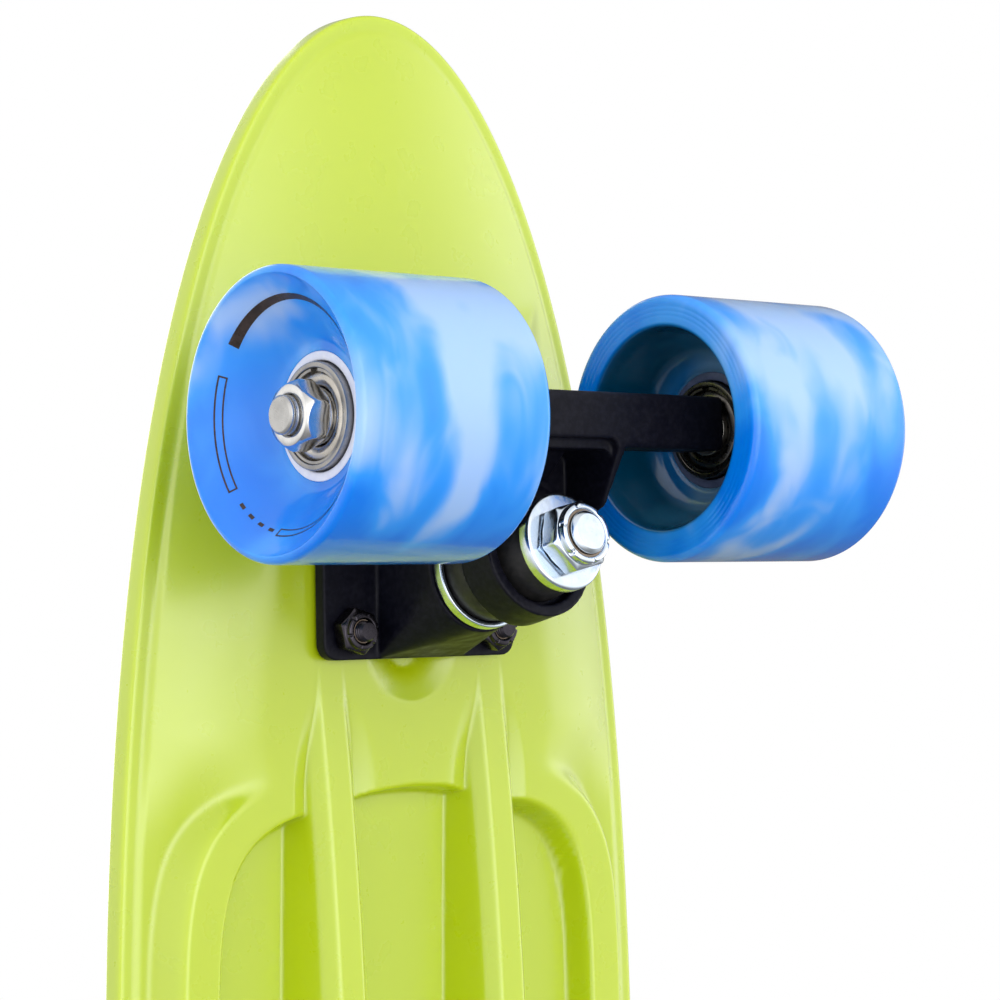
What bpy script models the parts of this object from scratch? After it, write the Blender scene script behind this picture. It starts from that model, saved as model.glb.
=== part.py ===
"""A small plastic cruiser skateboard: a moulded deck, two sprung trucks and four soft wheels.

Metres, +Z up. +X is the nose and +Y the rider's left. The wheels stand on Z = 0, and the origin is
under the middle of the board. Each truck is built in its own frame: origin on the axle's middle,
+X outboard towards the end of the board that it carries, +Z up to the deck. Its kingpin has a frame
of its own too, which runs from the face of the baseplate's boss (s = 0) out to the nut.
"""
import math

import bmesh
import bpy
from mathutils import Matrix, Vector

GAP = 0.0003  # clearance between pieces that touch

# Deck
LENGTH = 0.565
HALF_WIDTH = 0.0759
NOSE_POWER = 2.6  # superellipse exponents of the outline: a pointed nose and a fuller tail
TAIL_POWER = 5.0
DECK_TOP = 0.0978
MOUNT_Z = 0.0833  # flat underside that the trucks are bolted to
RIM_BOTTOM = 0.0918
FLOOR_Z = 0.0905  # ceiling of the moulded pockets
MARGIN_Z = 0.0912
CROWN_START = 0.37
KICK_START = -0.170
KICK_BLEND = 0.036
KICK_RADIUS = 0.130

# Underside relief, measured as u = distance from the middle of the wheelbase
RIB_TIP, RIB_DROP = 0.1105, 0.0076
RIB_FOOT_IN, RIB_CREST_IN, RIB_CREST_OUT, RIB_FOOT_OUT = 0.0143, 0.0201, 0.0268, 0.0323
MID_POCKET_END = 0.0865
POCKET_END, POCKET_HALF, POCKET_POWERS = 0.084, 0.0548, (6.3, 4.0)
RIDGE_END, RIDGE_HALF, RIDGE_POWERS = 0.095, 0.0683, (6.0, 3.5)
RIDGE_SLOPE, POCKET_SLOPE = 0.0043, 0.0022
EDGE_FLAT = 0.0702  # where the rim begins

# Trucks
AXLE_X = {"front": 0.1828, "rear": -0.1522}
AXLE_Z = 0.030
AXLE_RADIUS, AXLE_HALF = 0.0040, 0.0760
MID_X = (AXLE_X["front"] + AXLE_X["rear"]) / 2
PLATE_IN, PLATE_OUT, PLATE_HALF = -0.0508, 0.0158, 0.0280
PLATE_LOW, PLATE_HIGH = 0.0496, 0.0530  # heights above the axle
BOLT_IN, BOLT_OUT, BOLT_HALF = -0.0443, 0.0092, 0.02065
BOLT_RADIUS, BOLT_HOLE, BOLT_LENGTH = 0.0024, 0.0028, 0.0249
HEAD_POCKET = 0.0090  # radius of the hole in the boss that takes the kingpin's head
KINGPIN_X, KINGPIN_Z, KINGPIN_LEAN = -0.0323, 0.0300, math.radians(13.2)
KINGPIN_RADIUS, KINGPIN_END, KINGPIN_HEAD = 0.00476, 0.0396, -0.0213
UPPER_WASHER = 0.03125  # back of the upper washer, where the nut stands
AXLE_NUT_Y = 0.0681  # foot of the axle's nut
RING_LOW, RING_HIGH, RING_RADIUS = 0.0123, 0.0223, 0.0146
SEAT_LOW, SEAT_HIGH, SEAT_RADIUS, RING_BORE = 0.0150, 0.0193, 0.0120, 0.0065
STEER_ANGLE, PIVOT_REACH, PIVOT_RADIUS = math.radians(32.0), 0.0445, 0.0052
CUP_RADIUS = 0.0080
CROSSBAR = (-0.0050, 0.0072, 0.0432, 0.0061)  # inboard x, outboard x, half length, half height
WEB_HALF, WEB_WALL = 0.0131, 0.0020  # half width of the web and the thickness of its side walls
BOSS_HALF, BOSS_RADIUS = 0.0127, 0.0129  # the kingpin boss: half width of its square foot, radius of its face

# Wheels and bearings, measured from the wheel's middle; + is the outer side
WHEEL_Y, WHEEL_RADIUS, WHEEL_OUT, WHEEL_IN = 0.0555, 0.030, 0.0230, 0.0262
OUTER_CORNER, INNER_CORNER = 0.0017, 0.0018
CORE_RADIUS, CORE_HALF = 0.01325, 0.0105
BEARING_RADIUS, BEARING_WIDTH, BEARING_FACE = 0.0110, 0.0070, 0.0120


def clear_scene():
    for obj in list(bpy.data.objects):
        bpy.data.objects.remove(obj, do_unlink=True)


def collection(name, hidden=False):
    made = bpy.data.collections.new(name)
    bpy.context.scene.collection.children.link(made)
    made.hide_render = hidden
    return made


def material(name, colour, roughness, metallic=0.0):
    made = bpy.data.materials.new(name)
    made.use_nodes = True
    shader = made.node_tree.nodes["Principled BSDF"]
    shader.inputs["Base Color"].default_value = (*colour, 1.0)
    shader.inputs["Roughness"].default_value = roughness
    shader.inputs["Metallic"].default_value = metallic
    return made


# --- tools: every helper solid lives in the cutters collection until it is used up ---


def helper(mesh, name, matrix=None):
    obj = bpy.data.objects.new(name, mesh)
    CUTTERS.objects.link(obj)
    obj.hide_render = True
    obj.display_type = "WIRE"
    obj.matrix_world = matrix or Matrix()
    return obj


def from_bmesh(shape, name, matrix=None):
    mesh = bpy.data.meshes.new(name)
    shape.to_mesh(mesh)
    shape.free()
    return helper(mesh, name, matrix)


def box(low, high, bevel=0.0, segments=2):
    """A box between two corners, with its edges rounded."""
    shape = bmesh.new()
    bmesh.ops.create_cube(shape, size=1.0)
    low, high = Vector(low), Vector(high)
    for vert in shape.verts:
        vert.co = Vector([(low[i] + high[i]) / 2 + vert.co[i] * (high[i] - low[i]) for i in range(3)])
    if bevel:
        bmesh.ops.bevel(shape, geom=list(shape.edges), offset=bevel, segments=segments,
                        profile=0.5, affect="EDGES")
    return from_bmesh(shape, "box")


def rod(radius, start, end, sides=24, tip=None, matrix=None):
    """A cylinder or, with a tip radius, a cone along its frame's Z from start to end."""
    shape = bmesh.new()
    bmesh.ops.create_cone(shape, cap_ends=True, segments=sides, radius1=radius,
                          radius2=radius if tip is None else tip, depth=end - start)
    bmesh.ops.translate(shape, verts=shape.verts, vec=(0, 0, (start + end) / 2))
    return from_bmesh(shape, "rod", matrix)


def outline(points, thickness, matrix=None):
    """A flat plate: a filled 2D curve through the points, extruded to its thickness."""
    curve = bpy.data.curves.new("outline", "CURVE")
    curve.dimensions = "2D"
    curve.fill_mode = "BOTH"
    curve.extrude = thickness / 2
    spline = curve.splines.new("POLY")
    spline.points.add(len(points) - 1)
    for point, (x, y) in zip(spline.points, points):
        point.co = (x, y, 0, 1)
    spline.use_cyclic_u = True
    obj = helper(curve, "outline", matrix)
    return helper(finished(obj), "plate", matrix)


def circle(matrix, radius, steps):
    turns = [2 * math.pi * i / steps for i in range(steps)]
    return [matrix @ Vector((radius * math.cos(t), radius * math.sin(t), 0)) for t in turns]


def hull(points):
    """The solid stretched tightly round the points."""
    shape = bmesh.new()
    for point in points:
        shape.verts.new(point)
    made = bmesh.ops.convex_hull(shape, input=shape.verts)
    spare = {item for item in made["geom_interior"] + made["geom_unused"] if isinstance(item, bmesh.types.BMVert)}
    bmesh.ops.delete(shape, geom=list(spare), context="VERTS")
    bmesh.ops.recalc_face_normals(shape, faces=shape.faces)
    return from_bmesh(shape, "hull")


def turned(profile, steps=32, closed=False, matrix=None):
    """A turned solid from (radius, height) points that run down the outer side."""
    mesh = bpy.data.meshes.new("profile")
    count = len(profile)
    edges = [(i, (i + 1) % count) for i in range(count if closed else count - 1)]
    mesh.from_pydata([(r, 0, z) for r, z in profile], edges, [])
    obj = helper(mesh, "turned", matrix)
    screw = obj.modifiers.new("Screw", "SCREW")
    screw.steps = screw.render_steps = steps
    screw.use_merge_vertices = True
    screw.merge_threshold = 0.00001
    return obj


def boolean(obj, other, operation):
    modifier = obj.modifiers.new(operation.title(), "BOOLEAN")
    modifier.operation = operation
    modifier.object = other
    return other


def finished(obj, used=()):
    """The object's evaluated mesh, welded; the object and the cutters it used are removed."""
    bpy.context.view_layer.update()
    graph = bpy.context.evaluated_depsgraph_get()
    mesh = bpy.data.meshes.new_from_object(obj.evaluated_get(graph))
    shape = bmesh.new()
    shape.from_mesh(mesh)
    bmesh.ops.remove_doubles(shape, verts=shape.verts, dist=0.000001)
    shape.to_mesh(mesh)
    shape.free()
    for spent in (obj, *used):
        bpy.data.objects.remove(spent, do_unlink=True)
    return mesh


def joined(base, *steps):
    """Adds and cuts the (operation, solid) steps, then gives the mesh in the base's own frame."""
    used = [boolean(base, other, operation) for operation, other in steps]
    return finished(base, used)


def piece(name, mesh, look, parent=None, matrix=None):
    """One node: a named object with its own material, smooth where it is round."""
    copy = mesh.copy()
    copy.name = name
    obj = bpy.data.objects.new(name, copy)
    PARTS.objects.link(obj)
    copy.materials.clear()
    copy.materials.append(look)
    copy.shade_smooth()
    copy.set_sharp_from_angle(angle=math.radians(35))
    obj.parent = parent
    obj.matrix_basis = matrix or Matrix()
    return obj


def pivot(name, matrix, parent=None):
    obj = bpy.data.objects.new(name, None)
    obj.empty_display_size = 0.02
    PARTS.objects.link(obj)
    obj.parent = parent
    obj.matrix_basis = matrix
    return obj


# --- deck ---


def half_width(x):
    share = min(abs(x) / (LENGTH / 2), 1.0)
    return HALF_WIDTH * math.sqrt(1 - share ** (NOSE_POWER if x > 0 else TAIL_POWER))


def kick(x):
    """How far the tail is bent up at x."""
    past = max(0.0, KICK_START - x)
    bend = min(past, KICK_BLEND)
    return bend * bend / (2 * KICK_RADIUS) + (past - bend) * KICK_BLEND / KICK_RADIUS


def smooth(value):
    value = min(max(value, 0.0), 1.0)
    return value * value * (3 - 2 * value)


def crown(x, y):
    """The plain underside: flat where the trucks sit, then curving up to the rim."""
    share = (abs(x) / (LENGTH / 2)) ** (NOSE_POWER if x > 0 else TAIL_POWER) + (y / HALF_WIDTH) ** 2
    rise = min(max((share - CROWN_START) / (1 - CROWN_START), 0.0), 1.0) ** 1.5
    pad = 1.0
    for side, axle in AXLE_X.items():
        outboard = (x - axle) * (1 if side == "front" else -1)
        past = max(abs(y) - 0.031, PLATE_IN - 0.003 - outboard, outboard - PLATE_OUT - 0.003, 0.0)
        pad = min(pad, smooth(past / 0.006))
    return MOUNT_Z + (RIM_BOTTOM - MOUNT_Z) * rise * pad


def superellipse(u, end, half, powers):
    return half * max(0.0, 1 - (u / end) ** powers[0]) ** (1 / powers[1])


def deck_section(x):
    """(y, z) of half of the deck's section, from the middle of the underside round to the top."""
    width = half_width(x)
    u = abs(x - MID_X)
    lean = smooth((u - 0.096) / 0.03)  # 1 past the relief, where the section just follows the outline
    fit = 1 + (width / HALF_WIDTH - 1) * lean
    inner = max(superellipse(u, POCKET_END, POCKET_HALF, POCKET_POWERS), RIB_FOOT_OUT)
    outer = max(superellipse(u, RIDGE_END, RIDGE_HALF, RIDGE_POWERS), 0.040)
    crest = RIB_DROP * max(0.0, 1 - (u / RIB_TIP) ** 2)
    in_side = u < POCKET_END and inner > RIB_FOOT_OUT + 0.0005
    margin = 1 - smooth((u - 0.080) / 0.018)
    rows = (
        (0.0, FLOOR_Z if u < MID_POCKET_END else None),
        (RIB_FOOT_IN, FLOOR_Z if u < MID_POCKET_END else None),
        (RIB_CREST_IN, MOUNT_Z - crest if u < RIB_TIP else None),
        (RIB_CREST_OUT, MOUNT_Z - crest if u < RIB_TIP else None),
        (RIB_FOOT_OUT, FLOOR_Z if in_side else None),
        (max(inner - POCKET_SLOPE, RIB_FOOT_OUT + 0.0004), FLOOR_Z if in_side else None),
        (max(inner, RIB_FOOT_OUT + 0.0008), None),
        ((inner + outer - RIDGE_SLOPE) / 2, None),
        (outer - RIDGE_SLOPE, None if u > RIDGE_END else MOUNT_Z),
        (outer, "margin"),
        (max(outer, EDGE_FLAT - 0.002) + 0.002, "margin"),
    )
    points = []
    for y, z in rows:
        y = min(y * fit, width * 0.945 - 0.0002 * (len(rows) - len(points)))
        plain = crown(x, y)
        if z is None:
            z = plain
        elif z == "margin":
            z = plain + (MARGIN_Z - plain) * margin
        points.append((y, z))
    inset = min(1.0, width / 0.006)
    rim = ((0.0010, RIM_BOTTOM), (0.0001, 0.0926), (0.0, 0.0950), (0.0004, 0.0971), (0.0012, DECK_TOP))
    points += [(width - back * inset, z) for back, z in rim]
    points.append((width * 0.5, DECK_TOP))
    points.append((0.0, DECK_TOP))
    lift = kick(x)
    return [(y, z + lift) for y, z in points]


def deck_stations():
    """Where the sections stand: close at the tips, the ends of the relief and the tail's bend."""
    half = LENGTH / 2
    tip = [half - step for step in (0.0004, 0.003, 0.009, 0.018, 0.032, 0.052)]
    relief = (0.1105, 0.0955, 0.0925, 0.0868, 0.0862, 0.0822, 0.0795, 0.0745, 0.066, 0.050, 0.025, 0.0)
    places = set(tip) | {-x for x in tip}
    places |= {MID_X + side * u for u in relief for side in (-1, 1)}
    for side, axle in AXLE_X.items():
        sign = 1 if side == "front" else -1
        places |= {axle + sign * x for x in (0.0, PLATE_OUT + 0.004, PLATE_OUT + 0.010)}
    places |= {KICK_START - KICK_BLEND * step / 3 for step in range(4)}
    ordered = sorted(places)
    kept = [ordered[0]]
    for x in ordered[1:]:
        if x - kept[-1] > 0.0005:
            kept.append(x)
    return kept


def deck_mesh():
    shape = bmesh.new()
    rings = []
    for x in deck_stations():
        half = deck_section(x)
        loop = half + [(-y, z) for y, z in half[-2:0:-1]]
        rings.append([shape.verts.new((x, y, z)) for y, z in loop])
    for first, second in zip(rings, rings[1:]):
        for i in range(len(first)):
            j = (i + 1) % len(first)
            shape.faces.new((first[i], first[j], second[j], second[i]))
    for ring, x in ((rings[0], -LENGTH / 2), (rings[-1], LENGTH / 2)):
        tip = shape.verts.new((x, 0, RIM_BOTTOM + 0.003 + kick(x)))
        for i, vert in enumerate(ring):
            shape.faces.new((vert, ring[(i + 1) % len(ring)], tip))
    bmesh.ops.recalc_face_normals(shape, faces=shape.faces)
    body = from_bmesh(shape, "deck")
    cuts = []
    for frame in TRUCKS.values():
        for x, y in bolt_places():
            spot = frame @ Matrix.Translation((x, y, 0))
            cuts.append(("DIFFERENCE", rod(BOLT_HOLE, 0.03, 0.09, 16, matrix=spot)))
            sink = (DECK_TOP - AXLE_Z - 0.0032, DECK_TOP - AXLE_Z + 0.0008)
            cuts.append(("DIFFERENCE", rod(BOLT_HOLE, *sink, 16, tip=0.0068, matrix=spot)))
    return joined(body, *cuts)


# --- fasteners ---


def bolt_places():
    return [(x, y) for x in (BOLT_IN, BOLT_OUT) for y in (-BOLT_HALF, BOLT_HALF)]


def nut_mesh(flats, height, collar_height, collar_radius, bore):
    """A lock nut that stands on z = 0: a hexagon with a round collar crimped over its insert."""
    hexagon = rod(flats / math.sqrt(3), 0, height, 6)
    return joined(
        hexagon,
        ("UNION", rod(collar_radius, height - 0.001, height + collar_height, 18)),
        ("DIFFERENCE", rod(bore, -0.001, height + collar_height + 0.001, 12)),
    )


def deck_bolt_mesh():
    """A countersunk machine screw in the truck's frame, head up at the deck's top."""
    top = DECK_TOP - AXLE_Z - 0.0002
    tip = top - BOLT_LENGTH
    profile = ((0, top), (0.0046, top), (0.0046, top - 0.0004), (BOLT_RADIUS, top - 0.0026),
               (BOLT_RADIUS, tip), (0, tip))
    return finished(turned(profile, 12))


# --- truck ---


def kingpin_frame():
    return Matrix.Translation((KINGPIN_X, 0, KINGPIN_Z)) @ Matrix.Rotation(math.pi - KINGPIN_LEAN, 4, "Y")


def ring_centre():
    return kingpin_frame() @ Vector((0, 0, (SEAT_LOW + SEAT_HIGH) / 2))


def steer_frame():
    """Origin in the hanger's ring, +Z up the steering axis to the pivot."""
    return Matrix.Translation(ring_centre()) @ Matrix.Rotation(math.pi / 2 - STEER_ANGLE, 4, "Y")


def on_edge(y):
    """A frame whose X and Y are the truck's X and Z, for a profile seen from the side."""
    return Matrix.Translation((0, y, 0)) @ Matrix.Rotation(math.pi / 2, 4, "X")


def baseplate_mesh():
    """The casting under the deck: plate, kingpin boss and the pivot's housing."""
    king, steer = kingpin_frame(), steer_frame()
    plate = box((PLATE_IN, -PLATE_HALF, PLATE_LOW), (PLATE_OUT, PLATE_HALF, PLATE_HIGH + 0.003), 0.0012, 1)
    foot = [(x, y, PLATE_LOW + 0.0010) for x in (PLATE_IN, -0.0150) for y in (-BOSS_HALF, BOSS_HALF)]
    boss = hull(foot + circle(king, BOSS_RADIUS, 32))
    housing = rod(0.0105, PIVOT_REACH - 0.0090, PIVOT_REACH + 0.0050, 28, matrix=steer)
    block = outline(((-0.0040, 0.0510), (0.0030, 0.0380), (0.0110, 0.0360), (0.0150, 0.0400),
                     (0.0150, 0.0510)), 0.0200, on_edge(0))
    cuts = [("UNION", solid) for solid in (boss, block, housing)]
    cuts += [
        ("DIFFERENCE", box((-0.1, -0.1, PLATE_HIGH), (0.1, 0.1, PLATE_HIGH + 0.05))),
        ("DIFFERENCE", rod(KINGPIN_RADIUS + GAP, -0.05, 0.01, 24, matrix=king)),
        ("DIFFERENCE", rod(HEAD_POCKET, -0.05, KINGPIN_HEAD + 0.0058, 24, matrix=king)),
        ("DIFFERENCE", rod(CUP_RADIUS + GAP, PIVOT_REACH - 0.0200, PIVOT_REACH + 0.0020, 28, matrix=steer)),
    ]
    for x, y in bolt_places():
        spot = Matrix.Translation((x, y, 0))
        hole = rod(BOLT_HOLE, PLATE_LOW - 0.001, PLATE_HIGH + 0.001, 16, matrix=spot)
        cuts.append(("DIFFERENCE", hole))
    return joined(plate, *cuts)


def pivot_cup_mesh():
    """A urethane cup, closed at its inner end, that the hanger's pivot turns in."""
    outer, inner = CUP_RADIUS, PIVOT_RADIUS + GAP
    mouth, floor, end = PIVOT_REACH - 0.0088, PIVOT_REACH + 0.0003, PIVOT_REACH + 0.0017
    profile = ((0, end), (outer, end), (outer, mouth), (inner, mouth), (inner, floor), (0, floor))
    return finished(turned(profile, 28))


def hanger_mesh():
    """One casting: crossbar, kingpin ring, the hollow web between them and the pivot's arm."""
    king, steer = kingpin_frame(), steer_frame()
    inboard, outboard, half, height = CROSSBAR
    bar = box((inboard, -half, -height), (outboard, half, height), 0.0014)
    ring = rod(RING_RADIUS, RING_LOW, RING_HIGH, 30, matrix=king)
    side = ((-0.0240, 0.0110), (-0.0240, 0.0190), (-0.0060, 0.0180), (0.0030, 0.0060),
            (0.0010, -0.0050), (-0.0048, -0.0058), (-0.0160, -0.0005), (-0.0205, 0.0085))
    web = outline(side, 2 * WEB_HALF, on_edge(0))
    pocket = box((-0.0300, WEB_WALL - WEB_HALF, -0.0100), (-0.0072, WEB_HALF - WEB_WALL, 0.0120), 0.0020)
    arm = outline(((-0.0150, 0.0170), (-0.0110, 0.0270), (-0.0010, 0.0345), (0.0040, 0.0265),
                   (0.0070, 0.0050), (0.0000, 0.0000), (-0.0110, 0.0110)), 0.0110, on_edge(0))
    stub = turned(((0, PIVOT_REACH), (PIVOT_RADIUS * 0.55, PIVOT_REACH - 0.0004),
                   (PIVOT_RADIUS * 0.9, PIVOT_REACH - 0.0018), (PIVOT_RADIUS, PIVOT_REACH - 0.0038),
                   (PIVOT_RADIUS, PIVOT_REACH - 0.0110), (0.0078, PIVOT_REACH - 0.0135),
                   (0.0085, 0.0140), (0, 0.0140)), 24, matrix=steer)
    axle_line = Matrix.Rotation(math.pi / 2, 4, "X")
    return joined(
        bar,
        ("UNION", web),
        ("DIFFERENCE", pocket),
        ("UNION", arm),
        ("UNION", stub),
        ("UNION", ring),
        ("DIFFERENCE", rod(RING_BORE, 0.0, 0.03, 20, matrix=king)),
        ("DIFFERENCE", rod(SEAT_RADIUS, -0.002, SEAT_LOW, 24, matrix=king)),
        ("DIFFERENCE", rod(SEAT_RADIUS, SEAT_HIGH, 0.035, 24, matrix=king)),
        ("DIFFERENCE", rod(AXLE_RADIUS + GAP, -0.06, 0.06, 20, matrix=axle_line)),
    )


def kingpin_mesh():
    """The pin with its hexagon head, in the kingpin's frame."""
    pin = turned(((0, KINGPIN_END), (0.0040, KINGPIN_END), (KINGPIN_RADIUS, KINGPIN_END - 0.0008),
                  (KINGPIN_RADIUS, KINGPIN_HEAD + 0.0030), (0, KINGPIN_HEAD + 0.0030)), 24)
    return joined(pin, ("UNION", rod(0.0082, KINGPIN_HEAD, KINGPIN_HEAD + 0.0055, 6)))


def cup_washer_mesh(face, radius, depth, towards):
    """A dished washer whose flat back is at s = face and whose lip reaches depth towards the bushing."""
    bore, wall, base = KINGPIN_RADIUS + GAP, 0.0012, 0.0014
    points = [(bore, 0), (radius - 0.0004, 0), (radius, 0.0006), (radius, depth), (radius - wall, depth),
              (radius - wall, base), (bore, base)]
    profile = [(r, face + towards * z) for r, z in points]
    return finished(turned(profile if towards < 0 else profile[::-1], 24, closed=True))


def bushing_mesh(low, high, foot, waist, top):
    """A urethane bushing between s = low and s = high, with its radii at the ends and the middle."""
    bore = KINGPIN_RADIUS + GAP
    middle = (low + high) / 2
    points = ((bore, high), (top, high), (waist, middle), (foot, low), (bore, low))
    return finished(turned(points, 24, closed=True))


def axle_mesh():
    tip = AXLE_RADIUS - 0.0005
    points = ((0, AXLE_HALF), (tip, AXLE_HALF), (AXLE_RADIUS, AXLE_HALF - 0.0008),
              (AXLE_RADIUS, 0.0008 - AXLE_HALF), (tip, -AXLE_HALF), (0, -AXLE_HALF))
    return finished(turned(points, 24))


# --- wheel, turned about Z with its outer face up ---


def arc(centre, radius, start, end, steps):
    """Points of a circular arc from start to end, in degrees, in (radius, height) terms."""
    turns = [math.radians(start + (end - start) * i / steps) for i in range(steps + 1)]
    return [(centre[0] + radius * math.cos(t), centre[1] + radius * math.sin(t)) for t in turns]


def tyre_mesh():
    """The soft tyre: a dished outer face, a square-cut deep recess on the inner side."""
    bore = CORE_RADIUS + GAP
    points = arc((WHEEL_RADIUS - OUTER_CORNER, WHEEL_OUT - OUTER_CORNER), OUTER_CORNER, 90, 0, 3)
    points += arc((WHEEL_RADIUS - INNER_CORNER, INNER_CORNER - WHEEL_IN), INNER_CORNER, 0, -90, 3)
    points += [(0.0239, -WHEEL_IN), (0.0229, 0.0010 - WHEEL_IN), (0.0190, -0.0120), (bore, -CORE_HALF)]
    points += [(bore, CORE_HALF), (0.0156, 0.0110), (0.0205, 0.0155), (0.0242, 0.0193), (0.0274, 0.0221)]
    return finished(turned(points, 36, closed=True))


def core_mesh():
    """The hard core: two bearing seats with a shelf between them."""
    seat, shelf, shelf_half = BEARING_RADIUS + GAP, 0.0092, BEARING_FACE - BEARING_WIDTH - GAP
    points = ((CORE_RADIUS, CORE_HALF), (CORE_RADIUS, -CORE_HALF), (seat, -CORE_HALF),
              (seat, -shelf_half), (shelf, -shelf_half), (shelf, shelf_half), (seat, shelf_half),
              (seat, CORE_HALF))
    return finished(turned(points, 24, closed=True))


def bearing_mesh():
    """A shielded ball bearing, as one ring about its middle."""
    half, bore = BEARING_WIDTH / 2, AXLE_RADIUS + GAP
    points = ((BEARING_RADIUS, half), (BEARING_RADIUS, -half), (bore, -half), (bore, half))
    return finished(turned(points, 24, closed=True))


def truck_meshes():
    return {
        "baseplate": baseplate_mesh(),
        "pivot_cup": pivot_cup_mesh(),
        "hanger": hanger_mesh(),
        "axle": axle_mesh(),
        "kingpin": kingpin_mesh(),
        "kingpin_nut": nut_mesh(0.0143, 0.0050, 0.0018, 0.0067, KINGPIN_RADIUS + GAP),
        "washer_lower": cup_washer_mesh(GAP, 0.01265, 0.0029, 1),
        "washer_upper": cup_washer_mesh(UPPER_WASHER, 0.01086, 0.0032, -1),
        "bushing_lower": bushing_mesh(0.0020, SEAT_LOW - GAP, 0.0110, 0.0120, 0.0106),
        "bushing_upper": bushing_mesh(SEAT_HIGH + GAP, 0.0295, 0.0110, 0.0104, 0.0093),
        "deck_bolt": deck_bolt_mesh(),
        "deck_nut": nut_mesh(0.0095, 0.0037, 0.0013, 0.0042, BOLT_RADIUS + GAP),
        "axle_nut": nut_mesh(0.0130, 0.0036, 0.0021, 0.0059, AXLE_RADIUS + GAP),
        "tyre": tyre_mesh(),
        "wheel_core": core_mesh(),
        "bearing": bearing_mesh(),
    }


def place_wheel(name, meshes, hanger_pivot, side):
    """Tyre, core and both bearings on one axis; side is 1 on the truck's left and -1 on its right."""
    outward = Matrix.Rotation(-side * math.pi / 2, 4, "X")
    hub = pivot(f"{name}_axis", Matrix.Translation((0, side * WHEEL_Y, 0)) @ outward, hanger_pivot)
    piece(f"{name}_tyre", meshes["tyre"], LOOKS["wheel"], hub)
    piece(f"{name}_core", meshes["wheel_core"], LOOKS["core"], hub)
    middle = BEARING_FACE - BEARING_WIDTH / 2
    for where, z in (("outer", middle), ("inner", -middle)):
        piece(f"{name}_{where}_bearing", meshes["bearing"], LOOKS["steel"], hub, Matrix.Translation((0, 0, z)))


def place_truck(end, frame, meshes):
    truck = pivot(f"{end}_truck", frame)
    king, steer = kingpin_frame(), steer_frame()
    piece(f"{end}_baseplate", meshes["baseplate"], LOOKS["casting"], truck)
    piece(f"{end}_pivot_cup", meshes["pivot_cup"], LOOKS["bushing"], truck, steer)
    pin = pivot(f"{end}_kingpin_axis", king, truck)
    piece(f"{end}_kingpin", meshes["kingpin"], LOOKS["zinc"], pin)
    for name in ("washer_lower", "washer_upper"):
        piece(f"{end}_{name}", meshes[name], LOOKS["zinc"], pin)
    for name in ("bushing_lower", "bushing_upper"):
        piece(f"{end}_{name}", meshes[name], LOOKS["bushing"], pin)
    piece(f"{end}_kingpin_nut", meshes["kingpin_nut"], LOOKS["zinc"], pin, Matrix.Translation((0, 0, UPPER_WASHER + GAP)))

    turning = pivot(f"{end}_steering_axis", steer, truck)
    upright = steer.inverted()
    piece(f"{end}_hanger", meshes["hanger"], LOOKS["casting"], turning, upright)
    axle = pivot(f"{end}_axle_axis", upright, turning)
    across = Matrix.Rotation(math.pi / 2, 4, "X")
    piece(f"{end}_axle", meshes["axle"], LOOKS["steel"], axle, across)
    for side in (1, -1):
        left = side * (1 if end == "front" else -1) > 0
        name = f"{end}_{'left' if left else 'right'}"
        place_wheel(f"{name}_wheel", meshes, axle, side)
        seat = Matrix.Translation((0, side * AXLE_NUT_Y, 0)) @ Matrix.Rotation(-side * math.pi / 2, 4, "X")
        piece(f"{name}_axle_nut", meshes["axle_nut"], LOOKS["steel"], axle, seat)

    nut_turn = Matrix.Rotation(math.pi, 4, "X")
    for number, (x, y) in enumerate(bolt_places(), start=1):
        spot = Matrix.Translation((x, y, 0))
        piece(f"{end}_deck_bolt_{number}", meshes["deck_bolt"], LOOKS["black"], truck, spot)
        under = Matrix.Translation((x, y, PLATE_LOW - GAP)) @ nut_turn
        piece(f"{end}_deck_nut_{number}", meshes["deck_nut"], LOOKS["black"], truck, under)


clear_scene()
PARTS = collection("skateboard")
CUTTERS = collection("cutters", hidden=True)
LOOKS = {
    "deck": material("lime_plastic", (0.53, 0.75, 0.07), 0.32),
    "casting": material("black_casting", (0.015, 0.015, 0.017), 0.45),
    "zinc": material("zinc_plate", (0.72, 0.76, 0.80), 0.25, 1.0),
    "steel": material("steel", (0.62, 0.61, 0.58), 0.28, 1.0),
    "black": material("black_hardware", (0.02, 0.02, 0.025), 0.35, 0.6),
    "bushing": material("black_urethane", (0.012, 0.012, 0.012), 0.5),
    "wheel": material("blue_urethane", (0.12, 0.42, 0.90), 0.22),
    "core": material("wheel_core", (0.80, 0.80, 0.88), 0.4),
}
TRUCKS = {
    "front": Matrix.Translation((AXLE_X["front"], 0, AXLE_Z)),
    "rear": Matrix.Translation((AXLE_X["rear"], 0, AXLE_Z)) @ Matrix.Rotation(math.pi, 4, "Z"),
}
piece("deck", deck_mesh(), LOOKS["deck"])
PIECES = truck_meshes()
for end_name, end_frame in TRUCKS.items():
    place_truck(end_name, end_frame, PIECES)
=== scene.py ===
"""The visual model of a small plastic cruiser skateboard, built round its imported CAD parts.

Metres, +Z up, +X the nose. Each truck has its own frame: origin on the axle's middle, +X outboard, +Z up
to the deck. The kingpin's frame runs from the baseplate's boss (z = 0) out to the nut, and a wheel's frame
has its origin in the wheel's middle and +Z out of its outer face.
"""
import math

import bmesh
import bpy
import numpy as np
from mathutils import Matrix, Vector

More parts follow.
